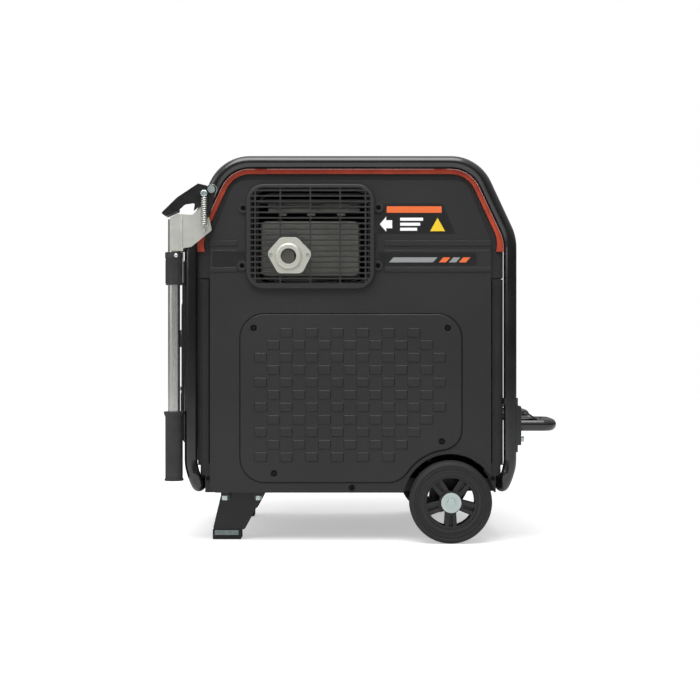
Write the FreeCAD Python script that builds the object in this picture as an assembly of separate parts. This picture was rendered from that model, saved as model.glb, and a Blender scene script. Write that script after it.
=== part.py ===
import FreeCAD, Part
import math
import os

# Portable inverter generator in a closed case, all sizes in millimetres.
# +X is the rear (wheels and lifting loops), -X the front (control panel and folding handles),
# -Y the near side (exhaust grille and service cover), +Y the far side (air intake), Z = 0 the ground.
# The shapes are laid out about the middle of the frame; saving them moves the origin
# under the middle of the whole generator.

Vector = FreeCAD.Vector

# Frame hoops: one bent steel tube on each side
HOOP_HALF = 332.0
HOOP_TOP = 774.0
HOOP_PLANE = 260.0
TUBE_R = 13.0
TUBE_WALL = 2.0
CHAMFER_FOOT = 613.0
CHAMFER_HEAD = 257.0
UPPER_BEND = 88.0
LOWER_BEND = 100.0
KNEE_HEIGHT = 155.0
KNEE_BEND = 80.0
FOOT_BEND = 28.0
CROSS_TUBE_X = 306.0
CROSS_TUBE_Z = 113.0
CROSS_TUBE_END = 200.0
TOP_TUBE_X = 185.0
TOP_TUBE_R = 11.0

# Case
COVER_INSET = 25.8
COVER_WALL = 3.0
COVER_END = 249.0
COVER_BOTTOM = 530.0
TRIM_WIDTH = 9.0
PANEL_IN = 252.0
PANEL_OUT = 256.0
PANEL_HALF = 282.0
PANEL_BOTTOM = 100.0
TRAY_HALF_LENGTH = 292.0
TRAY_HALF_WIDTH = 222.0
TRAY_BOTTOM = 100.0
TRAY_WALL = 2.5
TRAY_RIM = 26.0
TIE_HOLE_X = 275.0
TIE_HOLE_Y = 120.0
TIE_HOLE_R = 4.5
END_PANEL_X = 301.0
END_PANEL_HALF = 225.0
END_PANEL_TOP = 527.0
END_PANEL_BOTTOM = 128.0

# Exhaust side
GRILLE_BOX = (-209.0, 49.0, 508.0, 718.0)
GRILLE_CORNER = 36.0
GRILLE_FACE = 269.0
BAR_PITCH = 11.0
BAR_WIDTH = 3.0
OUTLET_X = -123.6
OUTLET_Z = 573.0
OUTLET_BORE = 15.5
OUTLET_PIPE_R = 19.0
FLANGE_GAP = 2.5

# Wheels and axle
WHEEL_X = 200.0
WHEEL_Z = 82.5
TYRE_R = 82.5
RIM_R = 61.5
WHEEL_IN = 236.0
WHEEL_OUT = 280.0
AXLE_R = 8.0
RUNNING_GAP = 0.05
ARCH_R = 95.0
COVER_ARCH_R = 104.0
SPOKES = 5

# Front feet
FOOT_IN = 172.0
FOOT_OUT = 206.0
PAD_TOP = 20.0

# Folding handles, turning on a pin through the frame tube
PIVOT_X = -276.4
PIVOT_Z = 705.0
PIVOT_PIN_R = 5.0
CHEEK = 3.0
CHEEK_OUT = 273.5
CHEEK_IN = 246.5
HANDLE_X = -353.0
HANDLE_R = 12.0
HANDLE_TOP = 647.0
HANDLE_BOTTOM = 130.0
GRIP_R = 17.5
LEVER_IN = 277.0
LEVER_OUT = 279.6
SPRING_X = -290.0
SPRING_Y = 286.7
SPRING_R = 6.8
SPRING_LOW = 631.0
SPRING_HIGH = 689.0
SPRING_PIN_Z = 696.0

# Rear lifting loops
LOOP_R = 12.5
LOOP_REACH = 402.5
LOOP_Z = 236.0
LOOP_OUTER = 250.0
LOOP_INNER = 160.0
LOOP_PLATE_X = 334.0

# Control panel
CONSOLE_FRONT = -345.0
PLATE_FRONT = -348.0
SOCKET_Y = -105.0
SOCKET_Z = 275.0
ROUND_SOCKET_Y = 85.0
ROUND_SOCKET_Z = 285.0
BUTTON_Y = -60.0
KNOB_Y = -130.0
KNOB_Z = 410.0
ROCKER_Y = 10.0
BREAKER_Y = 80.0
DISPLAY_Y = 130.0

# Engine set
CRANK_Z = 250.0
CAP_X = 120.0
CAP_Y = 90.0
CAP_R = 38.0
NECK_R = 27.0

# Half of the difference between the front and rear reach of the generator
ORIGIN_SHIFT = Vector(-20.4, 0.0, 0.0)

STEP_FOLDER = "parts"


def save(name, *solids):
    """Write one node: a single solid, or a group of separate solids."""
    shape = solids[0].copy() if len(solids) == 1 else Part.makeCompound(list(solids))
    shape.translate(ORIGIN_SHIFT)
    shape.exportStep(os.path.join(STEP_FOLDER, name + ".step"))


def mirrored(shape):
    return shape.mirror(Vector(0, 0, 0), Vector(0, 1, 0))


def save_pair(name, near):
    """Write a piece of the near side and its mirror image on the far side."""
    save(name + "_near", near)
    save(name + "_far", mirrored(near))


def one_solid(shape):
    """The piece left by a boolean operation, with its seams joined and stray chips dropped."""
    return max(shape.removeSplitter().Solids, key=lambda piece: piece.Volume)


def block(x0, x1, y0, y1, z0, z1):
    return Part.makeBox(x1 - x0, y1 - y0, z1 - z0, Vector(x0, y0, z0))


def rod(start, end, radius):
    """Round bar between two points."""
    line = Vector(*end) - Vector(*start)
    return Part.makeCylinder(radius, line.Length, Vector(*start), line)


def rod_y(x, z, radius, y0, y1):
    """Round bar along Y."""
    return rod((x, y0, z), (x, y1, z), radius)


def rounded_wire(points, radii, closed=False):
    """Straight runs through the points, each corner turned on a tangent arc."""
    corners = [Vector(*point) for point in points]
    count = len(corners)
    turns = []
    for index, corner in enumerate(corners):
        at_end = not closed and index in (0, count - 1)
        if at_end or radii[index] == 0:
            turns.append((corner, None, corner))
            continue
        into = (corner - corners[index - 1]).normalize()
        out = (corners[(index + 1) % count] - corner).normalize()
        half_turn = into.getAngle(out) / 2
        reach = radii[index] * math.tan(half_turn)
        inward = (out - into).normalize()
        depth = radii[index] / math.cos(half_turn) - radii[index]
        turns.append((corner - into * reach, corner + inward * depth, corner + out * reach))
    edges = []
    for index, (start, middle, end) in enumerate(turns):
        if middle is not None:
            edges.append(Part.Arc(start, middle, end).toShape())
        following = turns[(index + 1) % count][0]
        last = index == count - 1
        if (closed or not last) and (following - end).Length > 1e-6:
            edges.append(Part.LineSegment(end, following).toShape())
    return Part.Wire(edges)


def plate(outline, radii, y0, y1):
    """Flat piece with an outline of (x, z) corners, between two Y planes."""
    if not isinstance(radii, list):
        radii = [radii] * len(outline)
    wire = rounded_wire([(x, y0, z) for x, z in outline], radii, closed=True)
    return Part.Face(wire).extrude(Vector(0, y1 - y0, 0))


def rounded_plate(x0, x1, z0, z1, corner, y0, y1):
    return plate([(x0, z0), (x0, z1), (x1, z1), (x1, z0)], corner, y0, y1)


def front_plate(y0, y1, z0, z1, corner, x0, x1):
    """Flat piece facing the front, with round corners, between two X planes."""
    points = [(x0, y0, z0), (x0, y0, z1), (x0, y1, z1), (x0, y1, z0)]
    face = Part.Face(rounded_wire(points, [corner] * 4, closed=True))
    return face.extrude(Vector(x1 - x0, 0, 0))


def hexagon(centre, direction, across, height):
    """Hexagon bolt head of a width across its flats, standing on its centre point."""
    radius = across / math.sqrt(3)
    flat = Part.makePolygon([
        Vector(radius * math.cos(math.radians(60 * i)), radius * math.sin(math.radians(60 * i)), 0)
        for i in range(7)
    ])
    head = Part.Face(flat).extrude(Vector(0, 0, height))
    turn = FreeCAD.Rotation(Vector(0, 0, 1), Vector(*direction))
    head.Placement = FreeCAD.Placement(Vector(*centre), turn)
    return head


def bent_tube(points, radii, outer, wall):
    """Hollow round tube along straight runs and tangent bends."""
    spine = rounded_wire(points, radii)
    start = Vector(*points[0])
    direction = Vector(*points[1]) - start
    sections = [
        spine.makePipeShell([Part.Wire(Part.makeCircle(radius, start, direction))], True, False)
        for radius in (outer, outer - wall)
    ]
    return sections[0].cut(sections[1])


def hoop_outline(inset, foot):
    """Corners (x, z) of the hoop's outer line moved inwards, and the radii that fit them."""
    lean = math.atan((HOOP_HALF - CHAMFER_HEAD) / (HOOP_TOP - CHAMFER_FOOT))
    side = HOOP_HALF - inset
    shoulder = CHAMFER_FOOT - inset * math.tan(lean / 2)
    crown = CHAMFER_HEAD - inset * math.tan(math.pi / 4 - lean / 2)
    top = HOOP_TOP - inset
    corners = [
        (-side, foot), (-side, shoulder), (-crown, top),
        (crown, top), (side, shoulder), (side, foot),
    ]
    lower = LOWER_BEND - inset
    upper = UPPER_BEND - inset
    return corners, [0, lower, upper, upper, lower, 0]


# ---- Frame ----

def hoop():
    """Near side tube: up the front, over the top, down the rear, and turned in below the tray."""
    outline, bends = hoop_outline(TUBE_R, KNEE_HEIGHT)
    upright = [(x, -HOOP_PLANE, z) for x, z in outline]
    bends[0] = bends[-1] = KNEE_BEND
    front_foot = [
        (-CROSS_TUBE_X, -CROSS_TUBE_END, CROSS_TUBE_Z),
        (-CROSS_TUBE_X, -HOOP_PLANE, CROSS_TUBE_Z),
    ]
    rear_foot = [(-x, y, z) for x, y, z in reversed(front_foot)]
    path = front_foot + upright + rear_foot
    radii = [0, FOOT_BEND] + bends + [FOOT_BEND, 0]
    tube = bent_tube(path, radii, TUBE_R, TUBE_WALL)
    pin_hole = rod_y(PIVOT_X, PIVOT_Z, PIVOT_PIN_R, -HOOP_PLANE - 20, -HOOP_PLANE + 20)
    return one_solid(tube.cut(pin_hole).fuse(pivot_saddle()))


def bottom_tube(x):
    start = (x, -CROSS_TUBE_END, CROSS_TUBE_Z)
    end = (x, CROSS_TUBE_END, CROSS_TUBE_Z)
    return rod(start, end, TUBE_R).cut(rod(start, end, TUBE_R - TUBE_WALL))


def top_tube(x):
    """Cross tube between the hoops, its ends cut to saddle on them."""
    z = HOOP_TOP - TUBE_R
    start = (x, -HOOP_PLANE, z)
    end = (x, HOOP_PLANE, z)
    tube = rod(start, end, TOP_TUBE_R).cut(rod(start, end, TOP_TUBE_R - TUBE_WALL))
    for y in (-HOOP_PLANE, HOOP_PLANE):
        tube = tube.cut(rod((x - 40, y, z), (x + 40, y, z), TUBE_R))
    return one_solid(tube)


def pivot_saddle():
    """Doubler welded around the chamfer of the near hoop, above the handle's pivot."""
    lean = math.atan((HOOP_HALF - CHAMFER_HEAD) / (HOOP_TOP - CHAMFER_FOOT))
    along = Vector(math.sin(lean), 0, math.cos(lean))
    start = Vector(PIVOT_X, -HOOP_PLANE, PIVOT_Z) + along * 17
    end = start + along * 13
    ring = rod(tuple(start), tuple(end), TUBE_R + 3.5)
    ring = ring.cut(rod(tuple(start - along), tuple(end + along), TUBE_R))
    between_cheeks = block(-332, -262, -CHEEK_OUT + 0.6, -CHEEK_IN - 1.4, 690, 760)
    outside = plate([(-332, 640), (-332, 760), (-250, 760), (-306, 640)], 0, -300, -200)
    return one_solid(ring.common(between_cheeks).common(outside))


def corner_pillar(x_sign):
    """Upright between the end panel and the side panel, with a bolted gusset at its foot."""
    outer_x = HOOP_HALF - COVER_INSET
    channel = block(284, outer_x, -249, -228, 155, COVER_BOTTOM - 2)
    channel = channel.cut(block(286, outer_x - 2, -247, -220, 150, COVER_BOTTOM))
    ribs = [block(x, x + 3, -251, -249, 160, COVER_BOTTOM - 6) for x in (285, 299)]
    gusset = block(268, 292, -249, -246, PANEL_BOTTOM, 158).fuse(block(290, 300, -249, -246, 134, 158))
    foot = block(268, 292, -246, -TRAY_HALF_WIDTH, PANEL_BOTTOM, PANEL_BOTTOM + 3)
    pillar = channel.multiFuse(ribs + [gusset, foot])
    if x_sign < 0:
        return one_solid(pillar.mirror(Vector(0, 0, 0), Vector(1, 0, 0)))
    wheel_room = rod_y(WHEEL_X, WHEEL_Z, ARCH_R - 4, -300, -200)
    return one_solid(pillar.cut(wheel_room))


# ---- Case ----

def base_tray():
    """Folded steel pan that carries the engine set, with cooling slots and tie-down holes."""
    length, width, low = TRAY_HALF_LENGTH, TRAY_HALF_WIDTH, TRAY_BOTTOM
    tray = block(-length, length, -width, width, low, low + TRAY_RIM)
    inside = block(
        -length + TRAY_WALL, length - TRAY_WALL, -width + TRAY_WALL, width - TRAY_WALL,
        low + TRAY_WALL, low + TRAY_RIM + 1,
    )
    holes = [
        rod((x, y, low - 1), (x, y, low + 5), TIE_HOLE_R)
        for x in (-TIE_HOLE_X, TIE_HOLE_X) for y in (-TIE_HOLE_Y, TIE_HOLE_Y)
    ]
    slots = [block(-60 + 24 * i, -48 + 24 * i, -60, 60, low - 1, low + 5) for i in range(6)]
    return one_solid(tray.cut([inside] + holes + slots))


def top_cover():
    """Moulded hood that follows the hoops, with a return flange at each side."""
    def layer(inset, y0, y1, foot=COVER_BOTTOM):
        outline, bends = hoop_outline(inset, foot)
        return plate(outline, bends, y0, y1)

    hood = layer(COVER_INSET, -COVER_END, COVER_END)
    flange_start = COVER_END - COVER_WALL
    hollow = layer(COVER_INSET + COVER_WALL, -flange_start, flange_start, COVER_BOTTOM - 1)
    mouth = layer(COVER_INSET + 27, -COVER_END - 1, COVER_END + 1, COVER_BOTTOM - 1)
    cover_top = HOOP_TOP - COVER_INSET
    filler_hole = rod((CAP_X, CAP_Y, cover_top - 9), (CAP_X, CAP_Y, cover_top + 9), NECK_R + 4)
    return one_solid(hood.cut([hollow, mouth, filler_hole]))


def trim_strip():
    """Painted strip on the edge of the hood, wider at its two lower ends."""
    foot = 583.0
    outer, outer_bends = hoop_outline(COVER_INSET, foot)
    inner, inner_bends = hoop_outline(COVER_INSET + TRIM_WIDTH, foot - 1)
    widening = 5.0
    inner[0] = (inner[0][0] + widening, foot - 1)
    inner[-1] = (inner[-1][0] - widening, foot - 1)
    strip = plate(outer, outer_bends, -PANEL_OUT, -COVER_END)
    return one_solid(strip.cut(plate(inner, inner_bends, -PANEL_OUT - 1, -COVER_END + 1)))


def side_panel_blank():
    """Near side panel before its openings: flat skin, raised belt and wheel arch."""
    half = PANEL_HALF
    outline = [
        (-half, PANEL_BOTTOM), (-half, 606), (-232, 726),
        (232, 726), (half, 606), (half, PANEL_BOTTOM),
    ]
    skin = plate(outline, [14, 60, 34, 34, 60, 14], -PANEL_OUT, -PANEL_IN)
    belt = [
        block(-half, half, -PANEL_OUT - proud, -PANEL_OUT, low, high)
        for low, high, proud in ((543, 551, 2.0), (551, 586, 1.0), (595, 605, 2.0))
    ]
    arch = rod_y(WHEEL_X, WHEEL_Z, ARCH_R, -300, -200)
    rim = rod_y(WHEEL_X, WHEEL_Z, ARCH_R + 7, -PANEL_OUT - 1.5, -PANEL_OUT)
    above_bottom = block(-half, half, -300, -200, PANEL_BOTTOM, 400)
    return skin.multiFuse(belt + [rim.common(above_bottom)]).cut(arch)


def cover_shape(grow, y0, y1):
    """Service cover outline, larger all round by grow, with a smooth cut round the wheel."""
    x0, x1, z0, z1 = -221 - grow, 223 + grow, 121 - grow, 458 + grow
    arch = COVER_ARCH_R - grow
    shrink = arch / COVER_ARCH_R
    corners = [
        (x0, z0), (x0, z1), (x1, z1), (x1, 191.4 - grow),
        (WHEEL_X - 56.7 * shrink, WHEEL_Z + 96.3 * shrink), (98 + 0.5 * grow, z0),
    ]
    return plate(corners, [50, 50, 50, 43, arch, 45], y0, y1)


def side_panel_near():
    x0, x1, z0, z1 = GRILLE_BOX
    window = rounded_plate(x0 + 14, x1 - 14, z0 + 14, z1 - 14, 26, -300, -200)
    belt_gap = rounded_plate(x0 - 18, x1 + 19, z0 - 8, z1 + 8, 30, -300, -PANEL_OUT)
    cover_seat = cover_shape(1.5, -300, -PANEL_OUT + 2)
    hatch = rounded_plate(-200, 90, 145, 435, 40, -300, -200)
    return one_solid(side_panel_blank().cut([window, belt_gap, cover_seat, hatch]))


def side_panel_far():
    """Far side panel, with the cooling air intake behind horizontal blades."""
    slots = [
        rounded_plate(-190, 190, 190 + 22 * i, 200 + 22 * i, 4.5, -300, -200) for i in range(12)
    ]
    return one_solid(mirrored(side_panel_blank().cut(slots)))


def service_cover():
    """Screwed cover over the oil filler and the filters, standing in its seat on the panel."""
    cover = cover_shape(0, -PANEL_OUT - 3, -PANEL_OUT + 2)
    front = [e for e in cover.Edges if e.BoundBox.YMax < -PANEL_OUT - 2.9]
    cover = cover.makeChamfer(1.5, front)
    dimples = [
        rod_y(x, z, 7, -PANEL_OUT - 4, -PANEL_OUT - 1) for x, z in cover_screw_places()
    ]
    return one_solid(cover.cut(dimples))


def cover_screw_places():
    return [(-194, 430), (195, 430), (183, 203), (-153, 139)]


def grille_screw_places():
    return [(-215, 670), (56, 671), (-217, 555), (55, 555)]


def exhaust_grille():
    """Moulded guard over the exhaust: a rim, level bars and a few uprights."""
    x0, x1, z0, z1 = GRILLE_BOX
    rim = rounded_plate(x0, x1, z0, z1, GRILLE_CORNER, -GRILLE_FACE, -PANEL_OUT)
    outer = [e for e in rim.Edges if abs(e.BoundBox.YMax + GRILLE_FACE) < 1e-6]
    rim = rim.makeFillet(4.0, outer)
    hollow = rounded_plate(
        x0 + 7, x1 - 7, z0 + 7, z1 - 7, GRILLE_CORNER - 7, -GRILLE_FACE + BAR_WIDTH, -PANEL_OUT + 1,
    )
    lugs = []
    for x, z in grille_screw_places():
        lugs.append(rod_y(x, z, 10, -PANEL_OUT - 4, -PANEL_OUT))
    shell = rim.cut(hollow).multiFuse([lug.cut(hollow) for lug in lugs])
    for x, z in grille_screw_places():
        shell = shell.cut(rod_y(x, z, 5, -PANEL_OUT - 5, -PANEL_OUT - 1.5))
    uprights = [x0 + 8, -190, -140, -80, -20.6, 30, x1 - 8]
    window = rounded_plate(
        x0 + 8, x1 - 8, z0 + 8, z1 - 8, GRILLE_CORNER - 8, -GRILLE_FACE - 1, -GRILLE_FACE + 5,
    )
    rows = int((z1 - z0 - 16) / BAR_PITCH)
    openings = []
    for row in range(rows + 1):
        low = z0 + 8 + BAR_PITCH * row + BAR_WIDTH
        for left, right in zip(uprights, uprights[1:]):
            openings.append(block(
                left + BAR_WIDTH / 2, right - BAR_WIDTH / 2, -GRILLE_FACE - 1, -GRILLE_FACE + 5,
                low, low + BAR_PITCH - BAR_WIDTH,
            ))
    cuts = [Part.makeCompound(openings).common(window)]
    cuts.append(flange_plate(FLANGE_GAP, -GRILLE_FACE - 1, -GRILLE_FACE + 5))
    return one_solid(shell.cut(cuts))


def flange_plate(grow, y0, y1):
    """Six-sided outline of the outlet flange, larger all round by grow."""
    corners = [(-44.4, 6), (-16.4, 38), (17.6, 38), (48.6, 6), (27.6, -35), (-21.4, -35)]
    points = []
    for x, z in corners:
        stretch = 1 + grow / math.hypot(x, z) * 1.15
        points.append((OUTLET_X + x * stretch, OUTLET_Z + z * stretch))
    return plate(points, [14 + grow] * 6, y0, y1)


def console():
    """Front panel with the raised console that carries the controls."""
    sheet = block(
        -END_PANEL_X - 3, -END_PANEL_X, -END_PANEL_HALF, END_PANEL_HALF,
        END_PANEL_BOTTOM, END_PANEL_TOP,
    )
    back = -END_PANEL_X - 3
    side_view = [
        (back, 183), (CONSOLE_FRONT + 6, 195), (CONSOLE_FRONT, 203),
        (CONSOLE_FRONT, 488), (CONSOLE_FRONT + 22, 520), (back, 524),
    ]
    raised = plate(side_view, [0, 6, 6, 14, 10, 0], -195, 195)
    inner_view = [
        (back + 4, 187), (CONSOLE_FRONT + 7, 199), (CONSOLE_FRONT + 3, 205),
        (CONSOLE_FRONT + 3, 486), (CONSOLE_FRONT + 24, 516), (back + 4, 520),
    ]
    hollow = plate(inner_view, [0, 5, 5, 12, 8, 0], -191, 191)
    visor_back = -HOOP_HALF + COVER_INSET - 3
    visor = plate(
        [(visor_back, 488), (CONSOLE_FRONT, 488), (CONSOLE_FRONT, 560), (CONSOLE_FRONT + 14, 588),
         (visor_back, 590)],
        [0, 0, 14, 10, 2], -195, 195,
    )
    under_visor = plate(
        [(visor_back - 1, 470), (CONSOLE_FRONT + 3, 470), (CONSOLE_FRONT + 3, 558), (CONSOLE_FRONT + 16, 584),
         (visor_back - 3, 586)],
        [0, 0, 11, 7, 2], -191, 191,
    )
    shell = sheet.multiFuse([raised, visor]).cut([hollow, under_visor])
    return one_solid(shell.cut(panel_cutouts(CONSOLE_FRONT - 1, CONSOLE_FRONT + 5)))


def panel_cutouts(x0, x1):
    """Holes for the sockets, the button and the rockers, between two X planes."""
    return [
        rod((x0, SOCKET_Y, SOCKET_Z), (x1, SOCKET_Y, SOCKET_Z), 24.0),
        rod((x0, ROUND_SOCKET_Y, ROUND_SOCKET_Z), (x1, ROUND_SOCKET_Y, ROUND_SOCKET_Z), 33.0),
        rod((x0, BUTTON_Y, KNOB_Z), (x1, BUTTON_Y, KNOB_Z), 10.0),
        block(x0, x1, ROCKER_Y - 8.5, ROCKER_Y + 8.5, KNOB_Z - 14, KNOB_Z + 14),
        block(x0, x1, BREAKER_Y - 14.5, BREAKER_Y + 14.5, KNOB_Z - 20, KNOB_Z + 20),
        rod((x0, KNOB_Y, KNOB_Z), (x1, KNOB_Y, KNOB_Z), 4.0 + RUNNING_GAP),
    ]


def control_plate():
    sheet = front_plate(-183, 183, 212, 482, 10, PLATE_FRONT, CONSOLE_FRONT)
    return one_solid(sheet.cut(panel_cutouts(PLATE_FRONT - 1, CONSOLE_FRONT + 1)))


def rear_panel():
    """Rear sheet with warm air slots."""
    sheet = block(
        END_PANEL_X, END_PANEL_X + 3, -END_PANEL_HALF, END_PANEL_HALF,
        END_PANEL_BOTTOM, END_PANEL_TOP,
    )
    slots = [
        block(END_PANEL_X - 1, END_PANEL_X + 4, -150, 150, 300 + 20 * i, 309 + 20 * i)
        for i in range(10)
    ]
    return one_solid(sheet.cut(slots))


# ---- Wheels, axle and feet ----

def tyre():
    """Solid rubber tyre of the near wheel."""
    ring = rod_y(WHEEL_X, WHEEL_Z, TYRE_R, -WHEEL_OUT, -WHEEL_IN)
    shoulders = [e for e in ring.Edges if isinstance(e.Curve, Part.Circle)]
    ring = ring.makeFillet(9.0, shoulders)
    return one_solid(ring.cut(rod_y(WHEEL_X, WHEEL_Z, RIM_R, -WHEEL_OUT - 1, -WHEEL_IN + 1)))


def rim():
    """Moulded wheel centre with five double spokes."""
    face, back = -WHEEL_OUT + 2, -WHEEL_IN - 1
    band = rod_y(WHEEL_X, WHEEL_Z, RIM_R, face, back)
    band = band.cut(rod_y(WHEEL_X, WHEEL_Z, RIM_R - 13, face - 1, back + 1))
    band = band.cut(rod_y(WHEEL_X, WHEEL_Z, RIM_R - 7, face - 1, face + 4))
    hub = rod_y(WHEEL_X, WHEEL_Z, 22, face, back)
    spokes = []
    for i in range(SPOKES):
        spoke = plate(
            [(WHEEL_X - 13, WHEEL_Z - 58), (WHEEL_X - 10, WHEEL_Z - 12),
             (WHEEL_X + 10, WHEEL_Z - 12), (WHEEL_X + 13, WHEEL_Z - 58)],
            0, face + 6, back - 6,
        )
        groove = plate(
            [(WHEEL_X - 4, WHEEL_Z - 53), (WHEEL_X - 3, WHEEL_Z - 26),
             (WHEEL_X + 3, WHEEL_Z - 26), (WHEEL_X + 4, WHEEL_Z - 53)],
            2, face, face + 12,
        )
        spoke = spoke.cut(groove)
        spoke.rotate(Vector(WHEEL_X, 0, WHEEL_Z), Vector(0, 1, 0), 360 * i / SPOKES)
        spokes.append(spoke)
    bore = rod_y(WHEEL_X, WHEEL_Z, AXLE_R + RUNNING_GAP, face - 1, back + 1)
    inside_band = rod_y(WHEEL_X, WHEEL_Z, RIM_R - 1, face - 1, back + 1)
    spokes = [spoke.common(inside_band) for spoke in spokes]
    return one_solid(band.multiFuse([hub] + spokes).cut(bore))


def axle():
    """Steel axle with a fixed collar inside each wheel."""
    bar = rod_y(WHEEL_X, WHEEL_Z, AXLE_R, -WHEEL_OUT - 1, WHEEL_OUT + 1)
    collars = [
        rod_y(WHEEL_X, WHEEL_Z, 12, -WHEEL_IN + 1, -WHEEL_IN + 6),
        rod_y(WHEEL_X, WHEEL_Z, 12, WHEEL_IN - 6, WHEEL_IN - 1),
    ]
    return one_solid(bar.multiFuse(collars))


def axle_bracket():
    """Folded hanger that holds the axle under the tray."""
    hanger = plate(
        [(WHEEL_X - 38, TRAY_BOTTOM), (WHEEL_X + 38, TRAY_BOTTOM),
         (WHEEL_X + 18, WHEEL_Z - 18), (WHEEL_X - 18, WHEEL_Z - 18)],
        [0, 0, 8, 8], -218, -194,
    )
    fold = block(WHEEL_X - 60, WHEEL_X + 60, -214, -194, WHEEL_Z - 30, TRAY_BOTTOM - 4)
    hanger = hanger.cut(fold)
    return one_solid(hanger.cut(rod_y(WHEEL_X, WHEEL_Z, AXLE_R, -230, -180)))


def foot_profile(grow):
    """Outline (x, z) of the near front foot, grown or shrunk all round."""
    return [
        (-262 - grow, TRAY_BOTTOM + grow), (-173 + 1.6 * grow, TRAY_BOTTOM + grow),
        (-216 + 1.2 * grow, PAD_TOP - grow), (-281 - 1.1 * grow, PAD_TOP - grow),
    ]


def front_foot():
    """Pressed steel leg, open towards the middle, with two bolting ears."""
    leg = plate(foot_profile(0), [0, 0, 4, 4], -FOOT_OUT, -FOOT_IN)
    leg = leg.cut(plate(foot_profile(-3), 0, -FOOT_OUT + 3, -FOOT_IN + 1))
    ears = [
        block(x0, x1, -TRAY_HALF_WIDTH, -FOOT_OUT, 90, TRAY_BOTTOM)
        for x0, x1 in ((-263, -245), (-197, -179))
    ]
    return one_solid(leg.multiFuse(ears))


def foot_pad():
    pad = block(-281, -223, -FOOT_OUT - 2, -FOOT_IN + 2, 0, PAD_TOP)
    edges = [e for e in pad.Edges if e.BoundBox.ZMax < 1]
    return pad.makeFillet(2.0, edges)


# ---- Rear lifting loops ----

def lifting_loop():
    """Round tube loop on a plate, clamped to the rear upright and braced from above."""
    x0 = LOOP_PLATE_X + 7
    path = [
        (x0, -LOOP_OUTER, LOOP_Z), (LOOP_REACH, -LOOP_OUTER, LOOP_Z),
        (LOOP_REACH, -LOOP_INNER, LOOP_Z), (x0, -LOOP_INNER, LOOP_Z),
    ]
    loop = bent_tube(path, [0, 16, 16, 0], LOOP_R, TUBE_WALL)
    foot = block(LOOP_PLATE_X, x0, -LOOP_OUTER - 18, -LOOP_INNER + 18, 196, 274)
    foot = foot.makeFillet(2.0, [e for e in foot.Edges if e.BoundBox.XMin > x0 - 1])
    spacer = block(HOOP_HALF - 6, LOOP_PLATE_X, -HOOP_PLANE - 8, -HOOP_PLANE + 8, 182, 290)
    clamp = rod((HOOP_HALF - TUBE_R, -HOOP_PLANE, 277), (HOOP_HALF - TUBE_R, -HOOP_PLANE, 290), 16)
    strap = plate(
        [(x0 - 3, 264), (x0 + 9, 264), (x0 + 33, LOOP_Z + 12), (x0 + 28, LOOP_Z + 11),
         (x0 + 8, 261), (x0 - 3, 261)],
        0, -LOOP_OUTER - 8, -LOOP_OUTER + 8,
    )
    upright = rod(
        (HOOP_HALF - TUBE_R, -HOOP_PLANE, 160), (HOOP_HALF - TUBE_R, -HOOP_PLANE, 320), TUBE_R,
    )
    return one_solid(loop.multiFuse([foot, spacer, clamp, strap]).cut(upright))


# ---- Folding handles ----

def handle_bracket():
    """Zinc plated fork of the near handle: two cheeks on the pivot pin and a web between them."""
    hub_r = 11.0
    sleeve = [(-359, 583), (-359, 650), (-344, 657), (-314, 655), (-299, 670)]
    to_hub = [(-290, PIVOT_Z - 5), (-268, PIVOT_Z - 9)]
    tail = [(-284, 664), (-276, 624), (-317, 591), (-333, 589), (-333, 583)]
    outer = plate(
        sleeve + to_hub + tail, [2, 3, 3, 8, 4, 3, 3, 3, 6, 5, 3, 1],
        -CHEEK_OUT - CHEEK, -CHEEK_OUT,
    )
    short_tail = [(-286, 664), (-302, 624), (-319, 591), (-333, 589), (-333, 583)]
    inner = plate(
        sleeve + [(-288, PIVOT_Z - 3), (-272, PIVOT_Z - 9)] + short_tail,
        [2, 3, 3, 8, 4, 3, 3, 3, 6, 5, 3, 1], -CHEEK_IN, -CHEEK_IN + CHEEK,
    )
    hubs = [
        rod_y(PIVOT_X, PIVOT_Z, hub_r, -CHEEK_OUT - CHEEK, -CHEEK_OUT),
        rod_y(PIVOT_X, PIVOT_Z, hub_r, -CHEEK_IN, -CHEEK_IN + CHEEK),
    ]
    web = block(-338, -335.5, -CHEEK_OUT, -CHEEK_IN, 583, 652)
    stud = rod_y(SPRING_X, 623, 2.5, -SPRING_Y - 4, -CHEEK_OUT - CHEEK)
    fork = outer.multiFuse([inner, web, stud] + hubs)
    bore = rod_y(PIVOT_X, PIVOT_Z, PIVOT_PIN_R + RUNNING_GAP, -300, -200)
    return one_solid(fork.cut(bore))


def handle_tube():
    """Aluminium tube of the near handle, held between the cheeks by a through rivet."""
    start = (HANDLE_X, -HOOP_PLANE, HANDLE_BOTTOM)
    end = (HANDLE_X, -HOOP_PLANE, HANDLE_TOP)
    tube = rod(start, end, HANDLE_R).cut(rod(start, end, HANDLE_R - TUBE_WALL))
    rivet = rod_y(HANDLE_X, 625, 4, -CHEEK_OUT, -CHEEK_IN)
    return one_solid(tube.fuse(rivet))


def handle_grip():
    """Rubber grip with a flange, and the moulded collar below the fork."""
    def sleeve(low, high, radius):
        return rod((HANDLE_X, -HOOP_PLANE, low), (HANDLE_X, -HOOP_PLANE, high), radius)

    flare = Part.makeCone(GRIP_R, 20.5, 8, Vector(HANDLE_X, -HOOP_PLANE, 252), Vector(0, 0, 1))
    body = sleeve(125, 259, GRIP_R).multiFuse([flare, sleeve(260, 263, 20.5), sleeve(125, 129, 19)])
    grip = one_solid(body.cut(sleeve(HANDLE_BOTTOM, 300, HANDLE_R)))
    collar = sleeve(516, 569, 16.5).fuse(sleeve(569, 581, 17.8))
    collar = one_solid(collar.cut(sleeve(500, 600, HANDLE_R)))
    return Part.makeCompound([grip, collar])


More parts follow.
